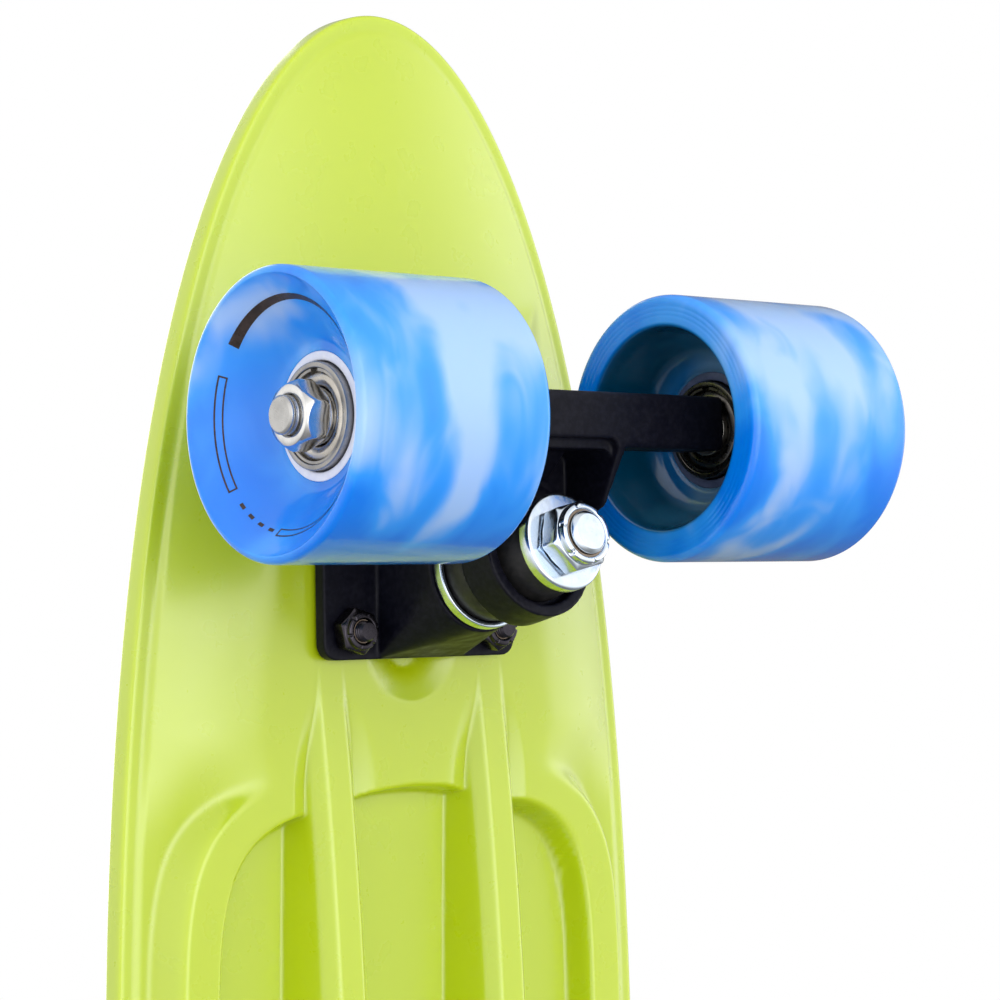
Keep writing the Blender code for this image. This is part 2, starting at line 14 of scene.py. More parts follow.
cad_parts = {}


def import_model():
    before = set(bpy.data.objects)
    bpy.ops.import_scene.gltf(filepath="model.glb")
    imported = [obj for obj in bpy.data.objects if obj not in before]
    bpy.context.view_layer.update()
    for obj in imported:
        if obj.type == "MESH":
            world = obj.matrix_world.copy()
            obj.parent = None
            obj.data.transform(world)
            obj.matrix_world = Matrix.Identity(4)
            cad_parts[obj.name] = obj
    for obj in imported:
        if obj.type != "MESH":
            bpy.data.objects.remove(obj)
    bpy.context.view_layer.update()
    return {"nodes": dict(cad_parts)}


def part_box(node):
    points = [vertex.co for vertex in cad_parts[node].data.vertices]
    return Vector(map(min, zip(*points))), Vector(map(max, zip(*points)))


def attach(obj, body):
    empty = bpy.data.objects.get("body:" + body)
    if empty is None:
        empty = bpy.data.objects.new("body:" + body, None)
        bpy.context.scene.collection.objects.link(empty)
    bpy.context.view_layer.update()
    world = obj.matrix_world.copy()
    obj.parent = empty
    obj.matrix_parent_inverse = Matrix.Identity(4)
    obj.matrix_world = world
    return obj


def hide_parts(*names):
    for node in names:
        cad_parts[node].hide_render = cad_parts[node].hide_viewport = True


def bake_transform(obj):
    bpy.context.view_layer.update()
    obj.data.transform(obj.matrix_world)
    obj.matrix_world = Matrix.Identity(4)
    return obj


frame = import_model()
NODES = frame["nodes"]


def middle(node):
    low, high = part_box(node)
    return (low + high) / 2


MM = 0.001
ENDS = {"front": 1, "rear": -1}
AXLES = {end: middle(f"{end}_axle") for end in ENDS}
MID_X = (AXLES["front"].x + AXLES["rear"].x) / 2
TRUCKS = {
    "front": Matrix.Translation(AXLES["front"]),
    "rear": Matrix.Translation(AXLES["rear"]) @ Matrix.Rotation(math.pi, 4, "Z"),
}
HALF_LENGTH, HALF_WIDTH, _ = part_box("deck")[1]
DECK_TOP_UP = 67.8  # millimetres from the axle up to the deck's top
DECK_TOP = AXLES["front"].z + DECK_TOP_UP * MM
MOUNT_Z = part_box("front_baseplate")[1].z + 0.3 * MM


# --- numbers that run smoothly into each other ---


def smooth(t):
    t = np.clip(t, 0, 1)
    return t * t * (3 - 2 * t)


def soft_min(a, b, k):
    """The smaller of two numbers, rounded where they cross within k of each other."""
    h = np.maximum(k - np.abs(a - b), 0) / k
    return np.minimum(a, b) - h * h * k / 4


def soft_max(a, b, k):
    return -soft_min(-a, -b, k)


def slope(t):
    """A straight ramp from 0 to 1 with rounded ends."""
    return soft_max(soft_min(t, 1.0, 0.3), 0.0, 0.3)


def oval(u, a, end, half, powers):
    """Distance outside a superellipse, negative inside it."""
    u, a = np.maximum(u, 1e-6), np.maximum(a, 1e-6)
    p, q = powers
    value = (u / end) ** p + (a / half) ** q - 1
    lean = np.hypot(p / end * (u / end) ** (p - 1), q / half * (a / half) ** (q - 1))
    return value / np.maximum(lean, 1.0)


# --- meshes ---


def mesh_of(points, faces):
    mesh = bpy.data.meshes.new("mesh")
    mesh.from_pydata([tuple(p) for p in points], [], [tuple(f) for f in faces])
    mesh.update()
    mesh.shade_smooth()
    return mesh


def rounded(points, radius, steps=4, closed=False):
    """The polyline with every corner turned into a small arc; radius is one number or one per point."""
    count = len(points)
    radii = radius if hasattr(radius, "__len__") else [radius] * count
    made = []
    for i, (point, r) in enumerate(zip(points, radii)):
        here = np.array(point, float)
        if r <= 0 or (not closed and i in (0, count - 1)):
            made.append(here)
            continue
        before, after = np.array(points[i - 1], float), np.array(points[(i + 1) % count], float)
        back, on = before - here, after - here
        reach = min(r, np.linalg.norm(back) * 0.48, np.linalg.norm(on) * 0.48)
        start = here + back / np.linalg.norm(back) * reach
        end = here + on / np.linalg.norm(on) * reach
        for t in np.linspace(0, 1, steps + 1):
            made.append((1 - t) ** 2 * start + 2 * t * (1 - t) * here + t * t * end)
    return np.array(made)


def face_outward(mesh):
    """Turns every face of a closed mesh to the outside."""
    shape = bmesh.new()
    shape.from_mesh(mesh)
    bmesh.ops.recalc_face_normals(shape, faces=shape.faces)
    shape.to_mesh(mesh)
    shape.free()
    return mesh


HEX_SHARPNESS = 60.0  # the power that rounds a hexagon's corners; higher is sharper


def lathe(profile, steps=64, flats=0.0, closed=True, shape=None):
    """Turns (radius, height) points in metres round Z.

    With flats, no ring is wider than a hexagon that size across. shape(angle, r, z) may return changed
    (r, z) arrays.
    """
    profile = np.array(profile, float)
    turn = np.arange(steps) * 2 * math.pi / steps
    r = np.repeat(profile[:, :1], steps, axis=1)
    z = np.repeat(profile[:, 1:], steps, axis=1)
    if flats:
        sides = np.array([np.cos(turn - i * math.pi / 3) for i in range(6)])
        norm = (np.maximum(sides, 0) ** HEX_SHARPNESS).sum(axis=0) ** (1 / HEX_SHARPNESS)
        r = soft_min(r, flats / 2 / norm[None, :], 0.12 * MM)
        r = np.where(profile[:, :1] < flats / 2 - 0.2 * MM, profile[:, :1], r)
    if shape:
        r, z = shape(turn[None, :], r, z)
    points = np.stack([r * np.cos(turn), r * np.sin(turn), z], axis=-1).reshape(-1, 3)
    rows = len(profile)
    faces = []
    for i in range(rows if closed else rows - 1):
        j = (i + 1) % rows
        for k in range(steps):
            n = (k + 1) % steps
            faces.append((i * steps + k, i * steps + n, j * steps + n, j * steps + k))
    if not closed:
        faces.append(tuple(range(steps))[::-1])
        faces.append(tuple((rows - 1) * steps + k for k in range(steps)))
    return face_outward(mesh_of(points, faces))


def added(name, data, matrix=None):
    obj = bpy.data.objects.new(name, data)
    bpy.context.scene.collection.objects.link(obj)
    obj.matrix_world = matrix or Matrix()
    return obj


def helper(mesh, matrix=None):
    return added("helper", mesh, matrix)


def from_bmesh(shape, matrix=None):
    mesh = bpy.data.meshes.new("helper")
    bmesh.ops.recalc_face_normals(shape, faces=shape.faces)
    shape.to_mesh(mesh)
    shape.free()
    return helper(mesh, matrix)


def box(low, high):
    shape = bmesh.new()
    bmesh.ops.create_cube(shape, size=1.0)
    for vert in shape.verts:
        vert.co = [(a + b) / 2 + c * (b - a) for a, b, c in zip(Vector(low), Vector(high), vert.co)]
    return from_bmesh(shape)


def rod(radius, start, end, sides=64, matrix=None):
    shape = bmesh.new()
    bmesh.ops.create_cone(shape, cap_ends=True, segments=sides, radius1=radius, radius2=radius,
                          depth=end - start)
    bmesh.ops.translate(shape, verts=shape.verts, vec=(0, 0, (start + end) / 2))
    return from_bmesh(shape, matrix)


def prism(points, thickness, matrix=None):
    """A plate with this outline in its frame's X and Y, centred on its thickness."""
    shape = bmesh.new()
    low = [shape.verts.new((x, y, -thickness / 2)) for x, y in points]
    high = [shape.verts.new((x, y, thickness / 2)) for x, y in points]
    shape.faces.new(low)
    shape.faces.new(high)
    for i in range(len(points)):
        j = (i + 1) % len(points)
        shape.faces.new((low[i], low[j], high[j], high[i]))
    return from_bmesh(shape, matrix)


def evaluated(obj):
    bpy.context.view_layer.update()
    return bpy.data.meshes.new_from_object(obj.evaluated_get(bpy.context.evaluated_depsgraph_get()))


def joined(base, *steps):
    """Adds and cuts the (operation, solid) steps and gives the mesh in the frame that they are placed in."""
    for operation, other in steps:
        modifier = base.modifiers.new(operation, "BOOLEAN")
        modifier.operation = operation
        modifier.object = other
        modifier.solver = "EXACT"
    mesh = evaluated(base)
    mesh.transform(base.matrix_world)
    for spent in (base, *(other for _, other in steps)):
        bpy.data.objects.remove(spent, do_unlink=True)
    return mesh


CAST_VOXEL, CAST_ROUNDS = 0.34 * MM, 5


def cast(mesh):
    """The solid as a casting: one skin with every edge and corner softened."""
    obj = helper(mesh)
    remesh = obj.modifiers.new("Remesh", "REMESH")
    remesh.mode = "VOXEL"
    remesh.voxel_size = CAST_VOXEL
    blur = obj.modifiers.new("Smooth", "SMOOTH")
    blur.factor = 0.5
    blur.iterations = CAST_ROUNDS
    made = evaluated(obj)
    made.shade_smooth()
    bpy.data.objects.remove(obj, do_unlink=True)
    return made


# --- materials ---


class Nodes:
    """A node tree and short ways to add to it."""

    def __init__(self, tree):
        self.tree = tree

    def node(self, kind, **settings):
        made = self.tree.nodes.new(kind)
        for key, value in settings.items():
            setattr(made, key, value)
        return made

    def link(self, output, target):
        self.tree.links.new(output, target)

    def math(self, operation, a, b=None):
        made = self.node("ShaderNodeMath", operation=operation)
        for socket, value in zip(made.inputs, (a, b)):
            if value is None:
                continue
            if isinstance(value, (int, float)):
                socket.default_value = value
            else:
                self.link(value, socket)
        return made.outputs[0]


class Look(Nodes):
    """A Principled material whose colour, roughness and bump come from procedural nodes."""

    def __init__(self, name, colour, roughness, metallic=0.0, **settings):
        self.material = bpy.data.materials.new(name)
        self.material.use_nodes = True
        super().__init__(self.material.node_tree)
        self.shader = self.tree.nodes["Principled BSDF"]
        self.shader.inputs["Base Color"].default_value = (*colour, 1)
        self.shader.inputs["Roughness"].default_value = roughness
        self.shader.inputs["Metallic"].default_value = metallic
        for socket, value in settings.items():
            self.shader.inputs[socket.replace("_", " ")].default_value = value
        self.place = self.node("ShaderNodeTexCoord").outputs["Object"]
        self.height = None

    def axes(self):
        made = self.node("ShaderNodeSeparateXYZ")
        self.link(self.place, made.inputs[0])
        return [made.outputs[axis] for axis in "XYZ"]

    def noise(self, scale, detail=3.0, place=None, warp=0.0, rough=0.5):
        made = self.node("ShaderNodeTexNoise")
        made.inputs["Scale"].default_value = scale
        made.inputs["Detail"].default_value = detail
        made.inputs["Roughness"].default_value = rough
        made.inputs["Distortion"].default_value = warp
        self.link(place or self.place, made.inputs["Vector"])
        return made.outputs["Fac"]

    def between(self, value, low, high, start=0.0, end=1.0):
        """value from low..high as start..end, eased at both ends."""
        made = self.node("ShaderNodeMapRange", interpolation_type="SMOOTHSTEP")
        self.link(value, made.inputs["Value"])
        for key, number in (("From Min", low), ("From Max", high), ("To Min", start), ("To Max", end)):
            made.inputs[key].default_value = number
        return made.outputs["Result"]

    def blend(self, share, first, second):
        made = self.node("ShaderNodeMix", data_type="RGBA")
        self.link(share, made.inputs["Factor"])
        for key, colour in (("A", first), ("B", second)):
            socket = [s for s in made.inputs if s.name == key and s.type == "RGBA"][0]
            if isinstance(colour, tuple):
                socket.default_value = (*colour, 1)
            else:
                self.link(colour, socket)
        return [s for s in made.outputs if s.type == "RGBA"][0]

    def colour(self, output):
        self.link(output, self.shader.inputs["Base Color"])

    def roughness(self, scale, detail, low, high):
        """Roughness that wanders between low and high."""
        uneven = self.between(self.noise(scale, detail), 0.3, 0.7, low, high)
        self.link(uneven, self.shader.inputs["Roughness"])

    def bump(self, output, depth):
        """Adds this height, in metres at full value, to the surface's bump."""
        made = self.node("ShaderNodeBump")
        made.inputs["Strength"].default_value = 1.0
        made.inputs["Distance"].default_value = depth
        self.link(output, made.inputs["Height"])
        if self.height:
            self.link(self.height, made.inputs["Normal"])
        self.height = made.outputs["Normal"]
        self.link(self.height, self.shader.inputs["Normal"])


def plastic_look():
    look = Look("lime_plastic", (0.52, 0.67, 0.01), 0.3, Coat_Weight=1.0, Coat_Roughness=0.2, Coat_IOR=1.6,
                Subsurface_Weight=0.4, Subsurface_Radius=(0.9, 1.0, 0.15), Subsurface_Scale=0.006, IOR=1.49)
    cloud = look.noise(18, 2)
    look.colour(look.blend(cloud, (0.435, 0.555, 0.0), (0.46, 0.575, 0.002)))
    look.roughness(140, 4, 0.26, 0.36)
    look.bump(look.noise(60, 2), 0.04 * MM)
    look.bump(look.noise(900, 2), 0.002 * MM)
    return look.material


def casting_look():
    look = Look("black_casting", (0.006, 0.006, 0.009), 0.38, Specular_IOR_Level=0.13)
    speckle = look.noise(900, 4)
    look.colour(look.blend(look.between(speckle, 0.35, 0.75), (0.003, 0.003, 0.007), (0.007, 0.007, 0.013)))
    look.roughness(300, 5, 0.34, 0.5)
    look.bump(look.noise(420, 4), 0.05 * MM)
    look.bump(look.noise(2600, 3), 0.015 * MM)
    return look.material


def metal_look(name, colour, roughness, grain=0.01, tint=None):
    look = Look(name, colour, roughness, 1.0)
    stain = look.between(look.noise(260, 5), 0.35, 0.7)
    look.colour(look.blend(stain, colour, tint or tuple(0.8 * c for c in colour)))
    look.roughness(700, 4, roughness * 0.75, roughness * 1.35)
    look.bump(look.noise(1500, 4), grain * MM)
    return look.material


def rubber_look(name, dark, pale, roughness):
    look = Look(name, dark, roughness, Specular_IOR_Level=0.4)
    look.colour(look.blend(look.between(look.noise(500, 4), 0.3, 0.8), dark, pale))
    look.roughness(350, 4, roughness * 0.8, roughness * 1.25)
    look.bump(look.noise(900, 4), 0.02 * MM)
    return look.material


def core_look():
    """Pale plastic, with painted shade darkening the hub's inner side, which lies in the wheel's shaded
    hollow.
    """
    look = Look("core_plastic", (0.76, 0.78, 0.88), 0.35, Specular_IOR_Level=0.4)
    z = look.axes()[2]
    cloud = look.between(look.noise(500, 4), 0.3, 0.8)
    pale = look.blend(cloud, (0.72, 0.74, 0.86), (0.82, 0.83, 0.90))
    # dark: painted shade for the hub's inner side.
    dark = look.blend(cloud, (0.06, 0.08, 0.15), (0.09, 0.11, 0.20))
    look.colour(look.blend(look.between(z, -0.006, 0.002), dark, pale))
    look.roughness(350, 4, 0.28, 0.44)
    look.bump(look.noise(900, 4), 0.02 * MM)
    return look.material


def marble_look(name, shift):
    """Blue and white urethane poured together; shift moves the pattern from wheel to wheel."""
    look = Look(name, (0.1, 0.4, 0.85), 0.16, Coat_Weight=0.3, Coat_Roughness=0.06,
                Subsurface_Weight=0.35, Subsurface_Radius=(0.5, 0.8, 1.0), Subsurface_Scale=0.005, IOR=1.5)
    stretched = look.node("ShaderNodeMapping")
    stretched.inputs["Scale"].default_value = (0.5, 0.8, 1.0)
    stretched.inputs["Location"].default_value = shift
    look.link(look.place, stretched.inputs["Vector"])
    swirl = stretched.outputs["Vector"]
    wide = look.noise(40, 1.0, swirl, 0.9, 0.4)
    fine = look.noise(110, 1.5, swirl, 1.2, 0.4)
    mix = look.math("ADD", look.math("MULTIPLY", wide, 0.85), look.math("MULTIPLY", fine, 0.15))
    x, y, z = look.axes()
    # Paler towards the wheel's +X side, a painted highlight standing in for the room's bright side there,
    # and bluer towards both faces.
    mix = look.math("ADD", mix, look.math("MULTIPLY", x, 3.0))
    face = look.math("MAXIMUM", look.math("SUBTRACT", look.math("ABSOLUTE", z), 0.017), 0.0)
    mix = look.math("SUBTRACT", mix, look.math("MULTIPLY", face, 11.0))
    pale = look.between(mix, 0.45, 0.63)
    deep = look.between(mix, 0.30, 0.50)
    blue = look.blend(deep, (0.0, 0.20, 0.82), (0.025, 0.31, 0.92))
    # Painted shade: the hollow inner side of the wheel is darkened to a dark blue-green, as it lies in
    # shadow.
    radius = look.math("SQRT", look.math("ADD", look.math("MULTIPLY", x, x), look.math("MULTIPLY", y, y)))
    near, low = look.between(radius, 0.0225, 0.0240, 1.0, 0.0), look.between(z, -0.014, -0.004, 1.0, 0.0)
    recess = look.math("MULTIPLY", near, low)
    painted_shade_teal = look.blend(pale, (0.0, 0.055, 0.12), (0.012, 0.12, 0.22))
    look.colour(look.blend(recess, look.blend(pale, blue, (0.34, 0.53, 0.88)), painted_shade_teal))
    look.roughness(260, 3, 0.12, 0.22)
    look.bump(look.noise(90, 2), 0.03 * MM)
    look.bump(look.noise(3000, 2), 0.003 * MM)
    return look.material


# Each look: the material slot that it stands for, and its material.
LOOKS = {
    "plastic": ("deck_plastic", plastic_look()),
    "casting": ("black_casting", casting_look()),
    "zinc": ("zinc_plate", metal_look("zinc_plate", (0.74, 0.81, 0.89), 0.2, 0.002, (0.66, 0.76, 0.88))),
    "steel": ("steel", metal_look("axle_steel", (0.55, 0.54, 0.52), 0.3, 0.02)),
    "bright": ("steel", metal_look("polished_steel", (0.78, 0.77, 0.75), 0.14, 0.006)),
    "dull": ("steel", metal_look("bearing_steel", (0.42, 0.40, 0.37), 0.34, 0.015)),
    "shield": ("steel", metal_look("shield_steel", (0.60, 0.56, 0.50), 0.3, 0.01)),
    # Steel darkened for the inner bearings: painted shade on the wheels' shaded inner sides.
    "shaded": ("steel", metal_look("painted_shade_bearing_steel", (0.13, 0.12, 0.11), 0.3, 0.01)),
    "black": ("black_hardware", metal_look("black_hardware", (0.055, 0.05, 0.06), 0.26, 0.01)),
    "bushing": ("black_urethane",
                rubber_look("black_urethane", (0.01, 0.01, 0.01), (0.022, 0.02, 0.02), 0.48)),
    "core": ("wheel_core", core_look()),
    "insert": ("black_hardware", rubber_look("nylon_insert", (0.20, 0.15, 0.11), (0.30, 0.23, 0.17), 0.5)),
    "print": ("wheel_urethane", rubber_look("printed_ink", (0.02, 0.012, 0.01), (0.05, 0.032, 0.028), 0.3)),
}


def piece(name, mesh, look, matrix, nodes):
    """One visible piece: its material, where it is and the CAD nodes it stands for.

    Pieces that look the same share their mesh; one with another look gets a copy.
    """
    slot, material = LOOKS[look]
    if mesh.materials and mesh.materials[0] != material:
        mesh = mesh.copy()
        mesh.materials.clear()
    if not mesh.materials:
        mesh.materials.append(material)
    obj = added(name, mesh, matrix)
    if nodes:
        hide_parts(*nodes)
    return obj


def place(owner, name, mesh, look, matrix, body, *nodes):
    """One visible piece of this truck or wheel, which moves with a body."""
    nodes = [f"{owner}_{node}" for node in nodes]
    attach(piece(f"{owner}_{name}", MESHES[mesh], look, matrix, nodes), body)


# --- deck ---

NOSE_POWER, TAIL_POWER = 2.6, 5.0
RIM_BOTTOM = MOUNT_Z + 8.5 * MM
FLOOR_DEPTH, MARGIN_DEPTH, RIM_DEPTH = 7.2 * MM, 7.9 * MM, 8.5 * MM
CROWN_START = 0.37
KICK_START, KICK_BLEND, KICK_RADIUS = -0.170, 0.036, 0.130
RIB_Y, RIB_HALF = 23.45 * MM, 3.35 * MM
RIB_TIP, RIB_DROP = 0.1105, 7.6 * MM
RIB_BAND, BAND_SLOPE, WALL_SLOPE = 2.65 * MM, 1.09, 2.95
GROOVE_TIP, GROOVE_RUN, GROOVE_DEPTH, GROOVE_FOOT = 0.1125, 0.0265, 3.0 * MM, 5.8 * MM
POCKET_END, POCKET_HALF, POCKET_POWERS, POCKET_WALL = 0.084, 0.0548, (6.3, 4.0), 2.2 * MM
RIDGE_END, RIDGE_HALF, RIDGE_POWERS, RIDGE_WALL = 0.095, 0.0683, (6.0, 3.5), 4.3 * MM
MID_END, MID_WALL = 0.0872, 1.2 * MM
TONGUE = (-47.5 * MM, 13.4 * MM, 13.2 * MM, 3.4 * MM)  # middle ahead of the axle, reach, half width, depth
PAD_HALF, PAD_BORDER, PAD_BLEND = 31 * MM, 3 * MM, 0.016
MARGIN_X, MARGIN_Y = (0.072, 0.030), (0.036, 0.024)  # where the margin's blend starts, and how long it is
RELIEF_END, RELIEF_FADE = 0.118, 0.022
EDGE_BLEND = 2.5 * MM
GRIP_PERIOD, GRIP_DEPTH, GRIP_WIDTH, GRIP_BORDER = 8.0 * MM, 0.55 * MM, 0.34, 7 * MM
SINK_RADIUS, SINK_DEPTH, SINK_LAND = 5.5 * MM, 2.6 * MM, 6.6 * MM
PLATE_IN, PLATE_OUT, PLATE_HALF = -50.8 * MM, 15.8 * MM, 28.0 * MM
BOLTS = [(x, y) for x in (-44.3 * MM, 9.2 * MM) for y in (-20.65 * MM, 20.65 * MM)]


def half_width(x):
    share = np.minimum(np.abs(x) / HALF_LENGTH, 1.0)
    return HALF_WIDTH * np.sqrt(1 - share ** np.where(x > 0, NOSE_POWER, TAIL_POWER))


def kick(x):
    past = np.maximum(0.0, KICK_START - x)
    bend = np.minimum(past, KICK_BLEND)
    return bend * bend / (2 * KICK_RADIUS) + (past - bend) * KICK_BLEND / KICK_RADIUS


def outboard(x, end):
    return (x - AXLES[end].x) * ENDS[end]


def outline_share(x, y):
    """0 in the middle of the board and 1 on its outline."""
    return (np.abs(x) / HALF_LENGTH) ** np.where(x > 0, NOSE_POWER, TAIL_POWER) + (y / HALF_WIDTH) ** 2


def plain_depth(x, y, limit):
    """The plain underside: flat under the trucks, then curving up to the rim, which it meets at limit."""
    rise = np.clip((outline_share(x, y) - CROWN_START) / (limit - CROWN_START), 0, 1) ** 1.5
    pad = np.ones_like(x)
    for end in ENDS:
        out = outboard(x, end)
        ahead, behind = PLATE_IN - PAD_BORDER - out, out - PLATE_OUT - PAD_BORDER
        past = np.maximum.reduce([np.abs(y) - PAD_HALF, ahead, behind])
        pad = np.minimum(pad, smooth(past / PAD_BLEND))
    return RIM_DEPTH * rise * pad


def under_depth(x, y, limit):
    """How far the underside lies above the mounting plane: pockets, ridges and ribs between the trucks."""
    u, a = np.abs(x - MID_X), np.abs(y)
    depth = plain_depth(x, y, limit)

    margin = (1 - smooth((u - MARGIN_X[0]) / MARGIN_X[1])) * smooth((a - MARGIN_Y[0]) / MARGIN_Y[1])
    depth = depth + (MARGIN_DEPTH - depth) * margin
    ridge = slope(-oval(u, a, RIDGE_END, RIDGE_HALF, RIDGE_POWERS) / RIDGE_WALL)
    depth = depth * (1 - ridge ** 1.35)

    side = slope(-oval(u, a, POCKET_END, POCKET_HALF, POCKET_POWERS) / POCKET_WALL)
    centre = slope((MID_END - 1.3 * MM * (a / 14 / MM) ** 2 - u) / MID_WALL)
    pocket = np.where(a > RIB_Y, side, centre)
    depth = depth + (FLOOR_DEPTH - depth) * pocket

    q = np.abs(a - RIB_Y)
    run = np.clip((GROOVE_TIP - u) / GROOVE_RUN, 0, 1)
    reach = 3.7 * MM + (7.2 * MM + 1.6 * MM * (a < RIB_Y)) * (1 - (1 - run) ** 2.2)
    groove = GROOVE_DEPTH * smooth(run) * np.clip((reach - q) / (reach - GROOVE_FOOT * 0.6), 0, 1.4)
    depth = soft_max(depth, groove, 0.25 * MM)

    crest = -RIB_DROP * (1 - (u / RIB_TIP) ** 2)
    band = crest + BAND_SLOPE * (q - RIB_HALF)
    wall = crest + BAND_SLOPE * RIB_BAND + WALL_SLOPE * (q - RIB_HALF - RIB_BAND)
    rib = soft_max(soft_max(crest, band, 0.7 * MM), wall, 0.9 * MM)
    depth = soft_min(depth, rib, 1.0 * MM)

    where, length, half, deep = TONGUE
    for end in ENDS:
        out = outboard(x, end) - where
        inside = np.clip(-oval(np.abs(out), a, length, half, (2.0, 2.0)) / half, 0, 1)
        depth = depth + (deep - depth) * inside ** 0.8
    return depth


def top_depth(x, y, edge):
    """How far the top lies below its highest level: the grip pattern and the bolts' countersinks.

    edge is the distance in from the outline.
    """
    along, across = (x + y) / GRIP_PERIOD * math.pi, (x - y) / GRIP_PERIOD * math.pi
    groove = np.maximum(1 - np.abs(np.sin(along)) / GRIP_WIDTH, 1 - np.abs(np.sin(across)) / GRIP_WIDTH)
    depth = GRIP_DEPTH * smooth(groove) * smooth((edge - GRIP_BORDER) / (2 * MM))
    for end in ENDS:
        for bx, by in BOLTS:
            away = np.hypot(outboard(x, end) - bx, y - by)
            depth = depth * smooth((away - SINK_LAND) / (1.2 * MM))
            depth = np.maximum(depth, np.clip(SINK_RADIUS - away, 0, SINK_DEPTH))
    return depth


def stations():
    """Places along half of the outline, from nose to tail, closer where the relief is finer."""
    turn = np.linspace(0, math.pi, 40001)
    x = HALF_LENGTH * np.cos(turn)
    y = half_width(x)
    u = np.abs(x - MID_X)
    step = np.where(u < RELIEF_END, 0.95 * MM, 1.25 * MM)
    step = np.where((u > 0.078) & (u < 0.116), 0.6 * MM, step)
    for end in ENDS:
        for bx in (BOLTS[0][0], BOLTS[2][0]):
            step = np.where(np.abs(outboard(x, end) - bx) < 6.8 * MM, 0.6 * MM, step)
    length = np.hypot(np.diff(x), np.diff(y))
    cost = np.concatenate([[0], np.cumsum(length / ((step[1:] + step[:-1]) / 2))])
    wanted = np.linspace(0, cost[-1], int(cost[-1]) // 2 * 2)
    return np.interp(wanted, cost, x), np.interp(wanted, cost, y)


def foot_of(x):
    """Where the line out to this place on the outline starts; the lines fan round the board's ends."""
    foot = x.copy()
    for sign, start, run in ((1, 0.212, 0.0305), (-1, 0.205, 0.0300)):
        past = x * sign - start
        foot = np.where(past > 0, sign * (start + run * (1 - np.exp(-past / run))), foot)
    return foot


# The rim's section from its lower to its upper edge: inset from the outline, and height.
RIM = np.array((
    (2.6, 0.0), (1.5, 0.0), (0.85, 0.04), (0.45, 0.2), (0.2, 0.48), (0.07, 0.9), (0.02, 2.2),
    (0.0, 3.8), (0.0, 5.0), (0.07, 5.38), (0.26, 5.72), (0.6, 5.93), (1.2, 6.0), (2.6, 6.0),
)) * MM
RIM_INSET = RIM[0, 0]


def columns(*runs):
    """Places from the middle to the rim: (end, spacing) runs."""
    made, at = [0.0], 0.0
    for end, step in runs:
        count = max(1, round((end - at) / step))
        made += list(at + (end - at) * np.arange(1, count + 1) / count)
        at = end
    return np.array(made)


def deck_mesh():
    x, y = stations()
    foot = foot_of(x)
    reach = np.hypot(x - foot, y)
    way = np.stack([(x - foot) / reach, y / reach], axis=-1)
    relief = 1 - smooth((np.abs(x - MID_X) - RELIEF_END) / RELIEF_FADE)

    def spread(fixed):
        """Column distances from the foot for each station: fixed in the relief, in proportion beyond it."""
        end = fixed[-1]
        share = fixed[None, :] / end * (reach[:, None] - RIM_INSET)
        lean = smooth((fixed - 57 * MM) / (end - 57 * MM))
        kept = fixed[None, :] + (reach[:, None] - RIM_INSET - end) * lean[None, :]
        return share + (kept - share) * relief[:, None]

    last = HALF_WIDTH - RIM_INSET
    low = spread(columns((13 * MM, 1.3 * MM), (34.5 * MM, 0.36 * MM), (51 * MM, 1.1 * MM), (last, 0.5 * MM)))
    high = spread(columns((15 * MM, 1.1 * MM), (26.5 * MM, 0.65 * MM), (last, 1.1 * MM)))
    rim = reach[:, None] - np.minimum(RIM[None, 1:-1, 0], reach[:, None] * 0.5)
    away = np.concatenate([low, rim, high[:, ::-1]], axis=1)
    px = foot[:, None] + way[:, :1] * away
    py = way[:, 1:] * away
    nlow, nrim = low.shape[1], rim.shape[1]
    z = np.empty_like(px)
    edge = smooth(1 - (reach[:, None] - RIM_INSET - low) / EDGE_BLEND)
    limit = outline_share(px[:, nlow - 1:nlow], py[:, nlow - 1:nlow])
    depth = under_depth(px[:, :nlow], py[:, :nlow], limit)
    z[:, :nlow] = MOUNT_Z + depth * (1 - edge) + RIM_DEPTH * edge
    z[:, nlow:nlow + nrim] = RIM_BOTTOM + RIM[None, 1:-1, 1]
    inward = reach[:, None] - away[:, nlow + nrim:]
    z[:, nlow + nrim:] = DECK_TOP - top_depth(px[:, nlow + nrim:], py[:, nlow + nrim:], inward)
    z += kick(px)

    count, wide = px.shape
    right = np.stack([px, py, z], axis=-1)
    left = right * np.array((1, -1, 1))
    # The two halves share the middle line's two columns and the first and last stations.
    index_right = np.arange(count * wide).reshape(count, wide)
    index_left = index_right + count * wide
    for shared in (np.s_[:, 0], np.s_[:, wide - 1], np.s_[0, :], np.s_[count - 1, :]):
        index_left[shared] = index_right[shared]
    faces = []
    for index, order in ((index_right, -1), (index_left, 1)):
        corners = [index[:-1, :-1], index[1:, :-1], index[1:, 1:], index[:-1, 1:]]
        faces.append(np.stack(corners[::order], axis=-1).reshape(-1, 4))
    points = np.concatenate([right.reshape(-1, 3), left.reshape(-1, 3)])
    faces = np.concatenate(faces)
    used, packed = np.unique(faces, return_inverse=True)
    return mesh_of(points[used], packed.reshape(-1, 4))


# --- truck castings ---

KING = (Matrix.Translation((-32.3 * MM, 0, 30.0 * MM))
        @ Matrix.Rotation(math.pi - math.radians(13.2), 4, "Y"))
RING_MIDDLE = KING @ Vector((0, 0, 17.15 * MM))
STEER = Matrix.Translation(RING_MIDDLE) @ Matrix.Rotation(math.pi / 2 - math.radians(32.0), 4, "Y")
PIVOT_REACH = 44.5 * MM
BOSS_HALF, BOSS_RADIUS = 12.7 * MM, 12.9 * MM
WEB_HALF, WEB_WALL = 13.3 * MM, 2.0 * MM
SWING, SWING_STEP = 12, 4  # degrees each way that the hanger steers, and between the clearance cuts


def on_edge(y):
    """A frame whose X and Y are the truck's X and Z, for a profile seen from the side."""
    return Matrix.Translation((0, y, 0)) @ Matrix.Rotation(math.pi / 2, 4, "X")


